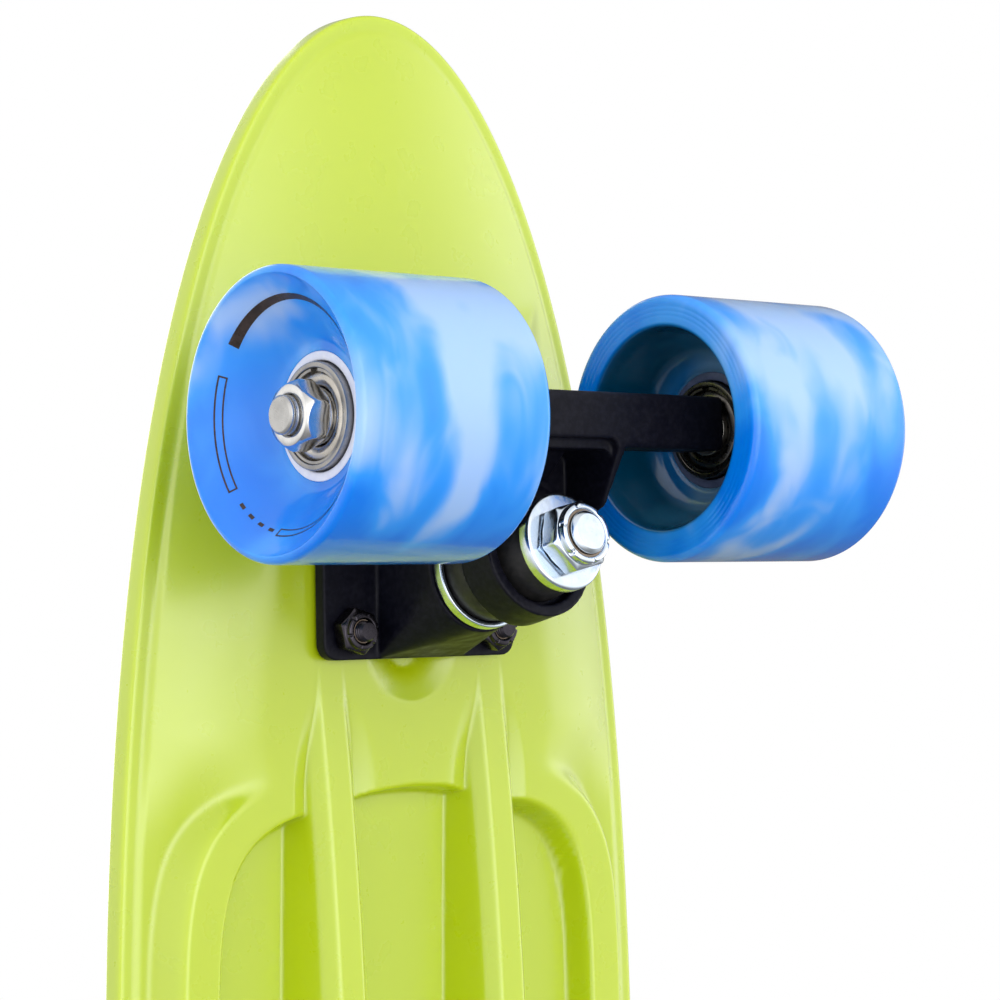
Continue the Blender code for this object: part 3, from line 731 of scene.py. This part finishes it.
def round_rectangle(low, high, radius, steps=8):
    points = []
    x0, y0 = (value + radius for value in low)
    x1, y1 = (value - radius for value in high)
    for x, y, start in ((x1, y1, 0), (x0, y1, 90), (x0, y0, 180), (x1, y0, 270)):
        for i in range(steps + 1):
            turn = math.radians(start + 90 * i / steps)
            points.append((x + radius * math.cos(turn), y + radius * math.sin(turn)))
    return points


def in_metres(points):
    return [tuple(c * MM for c in point) for point in points]


def hull(*rings):
    """The solid stretched tightly round these points."""
    shape = bmesh.new()
    for point in (p for ring in rings for p in ring):
        shape.verts.new(point)
    made = bmesh.ops.convex_hull(shape, input=shape.verts)
    spare = {v for v in made["geom_interior"] + made["geom_unused"] if isinstance(v, bmesh.types.BMVert)}
    bmesh.ops.delete(shape, geom=list(spare), context="VERTS")
    return from_bmesh(shape)


def circle(matrix, radius, height, steps=64):
    turns = [2 * math.pi * i / steps for i in range(steps)]
    return [matrix @ Vector((radius * math.cos(t), radius * math.sin(t), height)) for t in turns]


def baseplate_mesh():
    low, high = 49.6 * MM, 53.0 * MM
    base = prism(round_rectangle((PLATE_IN, -PLATE_HALF), (PLATE_OUT, PLATE_HALF), 3.6 * MM), high - low,
                 Matrix.Translation((0, 0, (low + high) / 2)))
    foot = [(x, y, low + 1 * MM) for x in (PLATE_IN, -15 * MM) for y in (-BOSS_HALF, BOSS_HALF)]
    boss = hull(foot, circle(KING, BOSS_RADIUS, 0.0))
    housing = rod(10.5 * MM, PIVOT_REACH - 9 * MM, PIVOT_REACH + 5 * MM, matrix=STEER)
    block = prism(in_metres(((-4, 51), (3, 38), (11, 36), (15, 40), (15, 51))), 20 * MM, on_edge(0))
    steps = [
        ("UNION", boss),
        ("UNION", block),
        ("UNION", housing),
        ("DIFFERENCE", box((-0.1, -0.1, high), (0.1, 0.1, high + 0.05))),
        ("DIFFERENCE", rod(5.1 * MM, -0.05, 0.01, matrix=KING)),
        ("DIFFERENCE", rod(8.3 * MM, PIVOT_REACH - 20 * MM, PIVOT_REACH + 2 * MM, matrix=STEER)),
    ]
    return cast(joined(base, *steps))


def hanger_mesh():
    bar_outline = round_rectangle((-5.0 * MM, -6.1 * MM), (7.2 * MM, 6.1 * MM), 1.5 * MM)
    bar = prism(bar_outline, 86.4 * MM, on_edge(0))
    ring = rod(14.6 * MM, 12.3 * MM, 22.3 * MM, 96, matrix=KING)
    side = in_metres((
        (-24, 11), (-24, 19), (-6, 18), (3, 6), (1, -5), (-4.8, -5.9), (-19.5, 0.9), (-22.5, 8.5),
    ))
    plan = in_metres(((4, 14), (-5, 13.4), (-24, 11.6), (-24, -11.6), (-5, -13.4), (4, -14)))
    web = helper(joined(prism(side, 2 * WEB_HALF, on_edge(0)), ("INTERSECT", prism(plan, 0.1))))
    inside = WEB_HALF - WEB_WALL
    pockets = []
    for end, top in ((-5.3, 12), (-3.0, -3.4)):
        outline = round_rectangle((-30 * MM, -inside), (end * MM, inside), 2.6 * MM)
        level = Matrix.Translation((0, 0, (top - 11) * MM))
        pockets.append(("DIFFERENCE", prism(outline, 22 * MM, level)))
    arm = prism(in_metres(((-15, 17), (-11, 27), (-1, 34.5), (4, 26.5), (7, 5), (0, 0), (-11, 11))),
                11 * MM, on_edge(0))
    # The web stays clear of the upper cup washer wherever the hanger steers.
    swings = [STEER @ Matrix.Rotation(math.radians(turn), 4, "Z") @ STEER.inverted() @ KING
              for turn in range(-SWING, SWING + 1, SWING_STEP)]
    clearance = [("DIFFERENCE", rod(11.5 * MM, 27.3 * MM, 35 * MM, matrix=swing)) for swing in swings]
    stub_line = ((2.9, 44.5), (4.7, 42.7), (5.2, 40.7), (5.2, 33.5), (7.8, 31.0), (8.5, 14.0))
    stub = helper(lathe(in_metres(stub_line), 48, closed=False), STEER)
    return cast(joined(
        bar,
        ("UNION", web),
        *pockets,
        ("UNION", arm),
        ("UNION", stub),
        ("UNION", ring),
        ("DIFFERENCE", rod(6.5 * MM, 0.0, 30 * MM, matrix=KING)),
        ("DIFFERENCE", rod(12.0 * MM, -2 * MM, 15.0 * MM, matrix=KING)),
        ("DIFFERENCE", rod(12.0 * MM, 19.3 * MM, 35 * MM, matrix=KING)),
        *clearance,
    ))


# --- fasteners and kingpin stack ---


def washer_mesh(face, radius, depth, towards):
    """A cup washer: its flat back is at z = face, and its lip reaches depth towards the bushing."""
    bore, wall, base = 5.05, 1.1, 1.3
    inside = radius - wall
    line = ((bore, 0), (radius, 0), (radius, depth), (inside, depth), (inside - 0.3, base), (bore, base))
    line = rounded(line, (0.25, 0.9, 0.5, 0.4, 0.5, 0.25), 5, closed=True)
    return lathe([(r * MM, (face + towards * z) * MM) for r, z in line], 96)


def bushing_mesh(low, high, foot, waist, top):
    middle_z = (low + high) / 2
    line = ((5.05, high), (top, high), (waist, middle_z), (foot, low), (5.05, low))
    line = rounded(line, (0.3, 1.1, 4.0, 1.1, 0.3), 6, closed=True)
    return lathe(line * MM, 72)


def nut_line(flats, height, collar, collar_height, bore):
    """The (radius, height) line of a lock nut, in millimetres, from its bore's foot round to its insert."""
    corner = flats / math.sqrt(3)
    edge = flats / 2
    top = height + collar_height
    bevel = (corner + 0.1 - edge) * 0.62
    line = (
        (bore, 0.0), (edge - 0.3, 0.0), (corner + 0.1, bevel),
        (corner + 0.1, height - bevel - 0.1), (edge - 0.25, height - 0.05),
        (collar + 0.1, height + 0.05), (collar, height + 0.4), (collar, top - 0.1), (collar - 1.1, top),
        (collar - 1.5, top - 0.45), (bore, top - 0.6),
    )
    return rounded(line, (0.1, 0.2, 0.35, 0.35, 0.2, 0.25, 0.2, 0.7, 0.3, 0.2, 0.2), 4, closed=True)


NUT_NOTCHES = 6


def nut_mesh(flats, height, collar, collar_height, bore):
    """A lock nut whose collar is crimped with notches over its insert."""
    def crimp(turn, r, z):
        dent = np.maximum(0, np.cos(turn * NUT_NOTCHES)) ** 14
        high = smooth((z - (height + 0.25) * MM) / (0.5 * MM)) * (r > (bore + 0.9) * MM)
        return r - dent * high * 0.45 * MM, z - dent * high * 0.35 * MM

    line = nut_line(flats, height, collar, collar_height, bore)
    return lathe(line * MM, 144, flats * MM, shape=crimp)


def insert_mesh(outer, bore, low, high):
    line = rounded(((bore, low), (outer, low), (outer, high), (bore, high)), 0.2, 3, closed=True)
    return lathe(line * MM, 48)


def threaded(radius, start, end, pitch, chamfer, low):
    """A pin along Z: smooth from low to start, then with a thread's grooves up to its chamfered end."""
    line = [(radius, low), (radius, start)]
    root = radius - 0.55 * pitch
    count = int((end - chamfer - start) / pitch)
    for i in range(count):
        z = start + i * pitch
        line += [(radius, z + 0.15 * pitch), (root, z + 0.5 * pitch), (radius, z + 0.85 * pitch)]
    line += [(radius, end - chamfer), (radius - 0.05, end - chamfer + 0.07),
             (radius - 0.93 * chamfer, end - 0.05), (radius - chamfer - 0.05, end),
             (radius - chamfer - 0.15, end)]
    return lathe(np.array(line) * MM, 64, closed=False)


def cone_nut_mesh(flats, height, face, bore):
    """A hexagon nut whose outer end narrows to a flat round face."""
    corner = flats / math.sqrt(3) + 0.1
    low, high = (corner - flats / 2) * 0.6, height - 2.3
    line = [(bore, 0.0), (flats / 2 - 0.3, 0.0)]
    line += [(r, low * (r - flats / 2 + 0.3) / (corner - flats / 2 + 0.3))
             for r in np.linspace(flats / 2, corner, 5)]
    line += [(r, height - 0.08 - (height - 0.08 - high) * ((r - face) / (corner - face)) ** 1.1)
             for r in np.linspace(corner, face + 0.12, 9)]
    line += [(face, height), (bore + 0.5, height), (bore + 0.2, height - 0.15), (bore + 0.12, height - 1.2),
             (bore, height - 1.3)]
    return lathe(np.array(line) * MM, 144, flats * MM)


def bolt_mesh():
    """A countersunk machine screw, head up at the deck's top, with a cross recess."""
    top = DECK_TOP_UP - 0.2
    tip = top - 24.9
    radius, root, pitch = 2.35, 2.0, 0.7
    line = [(1.9, tip), (radius, tip + 0.5)]
    z = tip + 0.5
    while z < tip + 12:
        line += [(radius, z + 0.1), (root, z + 0.35), (radius, z + 0.6)]
        z += pitch
    line += [(radius, top - 2.6), (4.55, top - 0.4), (4.6, top - 0.1), (4.3, top)]
    body = helper(lathe(np.array(line) * MM, 32, closed=False))
    cuts = [("DIFFERENCE", box((-w * MM, -h * MM, (top - 1.6) * MM), (w * MM, h * MM, (top + 1) * MM)))
            for w, h in ((2.4, 0.42), (0.42, 2.4))]
    made = joined(body, *cuts)
    made.shade_smooth()
    made.set_sharp_from_angle(angle=math.radians(35))
    return made


# --- wheels ---

WHEEL_RADIUS, WHEEL_OUT, WHEEL_IN = 30.0, 23.0, 26.2
OUTER_CORNER, INNER_CORNER = 1.7, 1.8
# The hollow outer face of the tyre, as radius and height from the hub out to the rounded corner.
DISH = np.array((
    (13.27, 10.5), (14.3, 10.55), (15.6, 11.0), (18.0, 13.0), (20.5, 15.55), (22.8, 17.95),
    (24.2, 19.3), (26.0, 20.9), (27.3, 22.0), (27.9, 22.55), (28.3, 23.0),
))


def dish_height(r):
    return np.interp(r, DISH_FINE[:, 0], DISH_FINE[:, 1])


def through(points, steps):
    """A smooth curve through the points."""
    made = []
    ends = np.concatenate([[2 * points[0] - points[1]], points, [2 * points[-1] - points[-2]]])
    for i in range(1, len(points)):
        a, b, c, d = ends[i - 1:i + 3]
        for t in np.arange(steps) / steps:
            made.append(0.5 * (2 * b + (c - a) * t + (2 * a - 5 * b + 4 * c - d) * t * t
                               + (3 * b - a - 3 * c + d) * t ** 3))
    made.append(points[-1])
    return np.array(made)


DISH_FINE = through(DISH, 4)


def corner_arc(reach, radius, start, end, steps=8):
    """An arc inside the wheel's outline: reach is the height of the face that it runs into."""
    turns = np.radians(np.linspace(start, end, steps + 1))
    lift = 1 if reach > 0 else -1
    middle_r, middle_z = WHEEL_RADIUS - radius, reach - lift * radius
    return [(middle_r + radius * math.cos(t), middle_z + radius * math.sin(t)) for t in turns]


def tyre_mesh():
    outer = corner_arc(WHEEL_OUT, OUTER_CORNER, 90, 0)
    inner = corner_arc(-WHEEL_IN, INNER_CORNER, 0, -90)
    tread = [(WHEEL_RADIUS, z) for z in np.linspace(outer[-1][1], inner[0][1], 9)[1:-1]]
    line = list(DISH_FINE[:-1]) + outer + tread + inner
    for r in (27.4, 26.3, 25.3):
        line += [(r + 0.2, -WHEEL_IN), (r, 0.04 - WHEEL_IN), (r - 0.2, -WHEEL_IN)]
    lip = ((24.6, -WHEEL_IN), (22.9, -WHEEL_IN), (22.2, -22.0), (19.0, -12.6), (16.6, -10.6), (13.27, -10.5))
    lip = rounded(lip, (0, 1.0, 1.0, 1.5, 1.5, 0.2), 6)
    return lathe(np.array(line + list(lip)) * MM, 160)


def core_mesh():
    line = (
        (13.25, 10.5), (13.25, -10.5), (11.3, -10.5), (11.3, -4.7),
        (9.2, -4.7), (9.2, 4.7), (11.3, 4.7), (11.3, 10.5),
    )
    line = rounded(line, (0.3, 0.3, 0.5, 0.1, 0.2, 0.2, 0.1, 0.5), 4, closed=True)
    return lathe(line * MM, 96)


def ring_mesh(line, radius, steps=96):
    return lathe(rounded(line, radius, 3, closed=True) * MM, steps)


def clip_mesh():
    """The bearing's snap ring: a square wire with a gap at one side."""
    section = ((9.15, 2.65), (9.72, 2.65), (9.72, 3.1), (9.15, 3.1))
    turns = np.radians(np.linspace(7, 353, 73))
    points = [(r * MM * math.cos(t), r * MM * math.sin(t), z * MM) for t in turns for r, z in section]
    faces = []
    for k in range(0, len(points) - 4, 4):
        for i, j in ((0, 1), (1, 2), (2, 3), (3, 0)):
            faces.append((k + i, k + j, k + 4 + j, k + 4 + i))
    faces += [(3, 2, 1, 0), tuple(len(points) - 4 + i for i in range(4))]
    mesh = mesh_of(points, faces)
    mesh.set_sharp_from_angle(angle=math.radians(35))
    return mesh


def band(points_in, points_out, lift=0.05, sink=0.12):
    """A closed printed film between two rows of (turn in degrees, radius) on the dish: points and faces."""
    points = []
    for height in (lift, -sink):
        for turn, r in (*points_in, *points_out):
            t = math.radians(turn)
            points.append((r * math.cos(t), -r * math.sin(t), dish_height(r) + height))
    count = len(points_in)
    top_in, top_out, low_in, low_out = (np.arange(count) + count * k for k in range(4))
    faces = []
    for i in range(count - 1):
        for a, b in ((top_out, top_in), (low_in, low_out), (top_in, low_in), (low_out, top_out)):
            faces.append((a[i], b[i], b[i + 1], a[i + 1]))
    for i, order in ((0, 1), (count - 1, -1)):
        faces.append((top_in[i], top_out[i], low_out[i], low_in[i])[::order])
    return points, faces


PRINT_INNER, PRINT_OUTER, BAR_END = 24.05, 24.3, 0.9


def print_mesh():
    """Plain arcs printed round the dish: a tapering stroke, two hollow bars and dashes.

    Turns run clockwise from +X, in degrees.
    """
    pieces = []

    def stroke(start, end, inner, outer):
        turns = np.linspace(start, end, max(4, int(abs(end - start) / 3)))
        shares = (turns - start) / (end - start)
        pieces.append(band([(t, inner(s)) for t, s in zip(turns, shares)],
                           [(t, outer(s)) for t, s in zip(turns, shares)]))

    stroke(-50, 116, lambda s: 23.95 - 1.35 * (1 - s) ** 1.3, lambda s: PRINT_OUTER)
    for start, end, rise in ((-128, -67, 0.0), (188, 126, 1.2)):
        stroke(start, end, lambda s: PRINT_INNER, lambda s: PRINT_OUTER)
        stroke(start, end, lambda s: 22.8 + rise * s ** 1.6, lambda s: 23.02 + rise * s ** 1.6)
        wide = math.copysign(BAR_END, end - start)
        for at in (start, end - wide):
            stroke(at, at + wide, lambda s: 23.0 + rise * (at != start), lambda s: 24.1)
    for start in (-141, -150, -159, -168):
        stroke(start, start + 4, lambda s: 23.2, lambda s: 23.75)
    points, faces = [], []
    for more, sides in pieces:
        faces += [tuple(int(i) + len(points) for i in side) for side in sides]
        points += more
    mesh = face_outward(mesh_of(np.array(points) * MM, faces))
    mesh.set_sharp_from_angle(angle=math.radians(35))
    return mesh


KING_HEAD = np.array(((7.3, -21.3), (8.1, -20.8), (8.1, -15.9), (4.0, -15.9)))
SHIELD_HALF = ((6.1, 2.1), (6.7, 2.7), (7.7, 2.95), (8.6, 2.6), (9.1, 2.2), (9.86, 2.1))
SHIELD = SHIELD_HALF + tuple((r, -z) for r, z in reversed(SHIELD_HALF))
MESHES = {
    "deck": deck_mesh(),
    "baseplate": baseplate_mesh(),
    "hanger": hanger_mesh(),
    "washer_lower": washer_mesh(0.3, 12.65, 2.9, 1),
    "washer_upper": washer_mesh(31.25, 10.86, 3.2, -1),
    "kingpin": threaded(4.76, 32.0, 39.6, 1.05, 0.8, -18.0),
    "kingpin_head": lathe(rounded(KING_HEAD, 0.3, 3) * MM, 72, 14.0 * MM, closed=False),
    "kingpin_nut": nut_mesh(14.3, 5.0, 6.7, 1.8, 4.95),
    "kingpin_insert": insert_mesh(6.0, 4.8, 5.2, 6.45),
    "axle": threaded(4.0, 66.9, 76.0, 1.0, 0.5, 0.0),
    "axle_nut": cone_nut_mesh(13.0, 5.7, 6.15, 4.15),
    "axle_insert": insert_mesh(4.75, 4.05, 3.6, 4.6),
    "axle_washer": ring_mesh(((4.3, -0.35), (5.7, -0.35), (5.7, 0.3), (4.3, 0.3)), 0.12, 72),
    "deck_bolt": bolt_mesh(),
    "deck_nut": nut_mesh(9.5, 3.7, 4.2, 1.3, 2.6),
    "deck_insert": insert_mesh(3.4, 2.4, 3.9, 4.5),
    "core": core_mesh(),
    "outer_ring": ring_mesh(((11.0, 3.5), (11.0, -3.5), (9.85, -3.5), (9.85, 3.5)), 0.25),
    "inner_ring": ring_mesh(((4.3, 3.5), (5.9, 3.5), (5.9, -3.5), (4.3, -3.5)), 0.3, 72),
    "shield": ring_mesh(SHIELD, 0.3),
    "clip": clip_mesh(),
    "tyre": tyre_mesh(),
    "print": print_mesh(),
}
for label, made_mesh in MESHES.items():
    made_mesh.name = label

# Millimetres along the kingpin, up from the axle, out along the axle, and out from the wheel's middle.
KING_NUT_SEAT, DECK_NUT_SEAT = 31.55, 49.3
WHEEL_MIDDLE, AXLE_WASHER, AXLE_NUT_SEAT = 55.5, 67.8, 68.1
BEARING_MIDDLE = 8.5
# The end that stays and the end that moves with the hanger, and the radii at foot, waist and top.
BUSHINGS = (("lower", 2.0, 14.7, (11.0, 12.0, 10.6)), ("upper", 29.5, 19.6, (11.0, 10.4, 9.3)))
MARBLE_SHIFTS = {
    "front_right": (0.31, 0.12, 0.52),
    "front_left": (0.77, 0.43, 0.13),
    "rear_right": (0.15, 0.91, 0.27),
    "rear_left": (0.59, 0.24, 0.83),
}
BEARING_PARTS = ("outer_ring", "inner_ring", "shield", "clip")
# The inner bearing's outer ring, shield and clip take the darkened steel: painted shade.
BEARING_SIDES = (
    ("outer", BEARING_MIDDLE, 0.0, ("dull", "bright", "shield", "dull")),
    ("inner", -BEARING_MIDDLE, math.pi, ("shaded", "dull", "shaded", "shaded")),
)


def along(z, turn=0.0):
    """A frame moved by these millimetres along Z and turned by these degrees round it."""
    return Matrix.Translation((0, 0, z * MM)) @ Matrix.Rotation(math.radians(turn), 4, "Z")


def build_truck(end):
    truck, hanger = TRUCKS[end], f"{end}_hanger"
    king = truck @ KING
    place(end, "baseplate_casting", "baseplate", "casting", truck, "root", "baseplate")
    place(end, "hanger_casting", "hanger", "casting", truck, hanger, "hanger")
    place(end, "kingpin_shank", "kingpin", "zinc", king, "root", "kingpin")
    place(end, "kingpin_head", "kingpin_head", "zinc", king, "root")
    nut = king @ along(KING_NUT_SEAT, 12)
    place(end, "kingpin_lock_nut", "kingpin_nut", "zinc", nut, "root", "kingpin_nut")
    place(end, "kingpin_nut_insert", "kingpin_insert", "insert", nut, "root")
    for name in ("washer_lower", "washer_upper"):
        place(end, f"cup_{name}", name, "zinc", king, "root", name)
    for name, fixed, moving, radii in BUSHINGS:
        mesh = bushing_mesh(*sorted((fixed, moving)), *radii)
        obj = piece(f"{end}_bushing_{name}_urethane", mesh, "bushing", king, (f"{end}_bushing_{name}",))
        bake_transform(obj)
    NODES[f"{end}_pivot_cup"].data.materials.clear()
    NODES[f"{end}_pivot_cup"].data.materials.append(LOOKS["bushing"][1])

    for number, (x, y) in enumerate(BOLTS, start=1):
        spot = truck @ Matrix.Translation((x, y, 0)) @ along(0, 17 * number)
        under = spot @ along(DECK_NUT_SEAT) @ Matrix.Rotation(math.pi, 4, "X")
        place(end, f"deck_screw_{number}", "deck_bolt", "black", spot, "root", f"deck_bolt_{number}")
        place(end, f"deck_lock_nut_{number}", "deck_nut", "black", under, "root", f"deck_nut_{number}")
        place(end, f"deck_nut_insert_{number}", "deck_insert", "insert", under, "root")

    for side in (1, -1):
        hand = "left" if side * ENDS[end] > 0 else "right"
        corner = f"{end}_{hand}"
        out = truck @ Matrix.Rotation(-side * math.pi / 2, 4, "X")
        # The axle is one CAD node; its left and right halves are two pieces here.
        nodes = ("axle",) if side == 1 else ()
        place(end, f"{hand}_axle_end", "axle", "steel", out, hanger, *nodes)
        seat = out @ along(AXLE_NUT_SEAT, 20)
        place(corner, "axle_lock_nut", "axle_nut", "bright", seat, hanger, "axle_nut")
        place(corner, "axle_nut_insert", "axle_insert", "black", seat, hanger)
        place(corner, "axle_washer", "axle_washer", "zinc", out @ along(AXLE_WASHER), hanger)
        build_wheel(corner, out @ along(WHEEL_MIDDLE))


def build_wheel(corner, hub):
    body, look = f"{corner}_wheel", f"marble_{corner}"
    LOOKS[look] = ("wheel_urethane", marble_look(f"marbled_urethane_{corner}", MARBLE_SHIFTS[corner]))
    tyre = piece(f"{corner}_marbled_tyre", MESHES["tyre"].copy(), look, hub, (f"{body}_tyre",))
    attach(tyre, body)
    place(corner, "printed_arcs", "print", "print", hub, body)
    place(corner, "wheel_hub", "core", "core", hub, body, "wheel_core")
    for where, z, turn, looks in BEARING_SIDES:
        spot = hub @ along(z) @ Matrix.Rotation(turn, 4, "X")
        for part, look in zip(BEARING_PARTS, looks):
            nodes = (f"wheel_{where}_bearing",) if part == "outer_ring" else ()
            place(corner, f"{where}_bearing_{part}", part, look, spot, body, *nodes)


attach(piece("deck_shell", MESHES["deck"], "plastic", Matrix(), ("deck",)), "root")
for end in ENDS:
    build_truck(end)


# --- stage, light and camera ---


def floor():
    """A pale floor under the wheels, seen only from above it."""
    shape = bmesh.new()
    bmesh.ops.create_grid(shape, x_segments=1, y_segments=1, size=6.0)
    obj = from_bmesh(shape)
    obj.name = "floor"
    look = Look("pale_floor", (0.80, 0.80, 0.80), 0.7)
    look.roughness(60, 4, 0.6, 0.8)
    mix = look.node("ShaderNodeMixShader")
    look.link(look.node("ShaderNodeNewGeometry").outputs["Backfacing"], mix.inputs[0])
    look.link(look.shader.outputs[0], mix.inputs[1])
    look.link(look.node("ShaderNodeBsdfTransparent").outputs[0], mix.inputs[2])
    look.link(mix.outputs[0], look.tree.nodes["Material Output"].inputs["Surface"])
    obj.data.materials.append(look.material)
    obj.visible_shadow = obj.visible_diffuse = obj.visible_glossy = False


ROOM_BASE = 0.22
# The room's bright sides: direction, how narrow it is, and strength.
ROOM = (
    ((0.05, -0.14, -1.0), 6.0, 2.7),
    ((0.1, 0.95, -0.35), 8.0, 1.9),
    ((0.85, 0.0, -0.52), 2.0, 0.7),
    ((0.3, -0.6, 0.74), 1.5, 0.8),
    ((0.0, -1.0, -0.25), 3.0, 0.95),
)


def soft_light(name, spot, target, size, power):
    lamp = bpy.data.lights.new(name, "AREA")
    lamp.shape = "RECTANGLE"
    lamp.size, lamp.size_y = size
    lamp.energy = power
    obj = added(name, lamp)
    obj.location = spot
    obj.rotation_mode = "QUATERNION"
    obj.rotation_quaternion = (Vector(target) - Vector(spot)).to_track_quat("-Z", "Y")
    obj.visible_camera = False


def world():
    """A white room for the camera; what lights the object is dim, with five soft bright sides."""
    made = bpy.data.worlds.new("white_room")
    made.use_nodes = True
    nodes = Nodes(made.node_tree)
    way = nodes.node("ShaderNodeTexCoord").outputs["Generated"]
    total = ROOM_BASE
    for direction, narrow, strength in ROOM:
        dot = nodes.node("ShaderNodeVectorMath", operation="DOT_PRODUCT")
        dot.inputs[1].default_value = Vector(direction).normalized()
        nodes.link(way, dot.inputs[0])
        facing = nodes.math("POWER", nodes.math("MAXIMUM", dot.outputs["Value"], 0.0), narrow)
        total = nodes.math("ADD", nodes.math("MULTIPLY", facing, strength), total)
    dim = nodes.tree.nodes["Background"]
    white = nodes.node("ShaderNodeBackground")
    nodes.link(total, dim.inputs["Strength"])
    for shader in (dim, white):
        shader.inputs["Color"].default_value = (1, 1, 1, 1)
    mix = nodes.node("ShaderNodeMixShader")
    nodes.link(nodes.node("ShaderNodeLightPath").outputs["Is Camera Ray"], mix.inputs[0])
    nodes.link(dim.outputs[0], mix.inputs[1])
    nodes.link(white.outputs[0], mix.inputs[2])
    nodes.link(mix.outputs[0], nodes.tree.nodes["World Output"].inputs["Surface"])
    bpy.context.scene.world = made


SENSOR_WIDTH, FOCAL_LENGTH = 36.0, 100.72
CAMERA_FROM_AXLE = Vector((-0.03603, -0.40565, -0.45044))
CAMERA_RIGHT = Vector((-0.0164, 0.7585, -0.6516))
CAMERA_UP = Vector((0.9993, -0.0090, -0.0356))
CAMERA_BACK = Vector((-0.0329, -0.6518, -0.7579))


def camera():
    """Under the front truck, looking up at it from the board's right, with the nose at the picture's top."""
    lens = bpy.data.cameras.new("camera")
    lens.sensor_width = SENSOR_WIDTH
    lens.lens = FOCAL_LENGTH
    turn = Matrix((CAMERA_RIGHT, CAMERA_UP, CAMERA_BACK)).transposed().to_4x4()
    spot = Matrix.Translation(AXLES["front"] + CAMERA_FROM_AXLE)
    bpy.context.scene.camera = added("camera", lens, spot @ turn)


floor()
world()
soft_light("top", (0.3, 0.3, 1.4), (0, 0, 0.06), (1.2, 1.2), 8)
camera()
bpy.context.scene.view_settings.view_transform = "Standard"
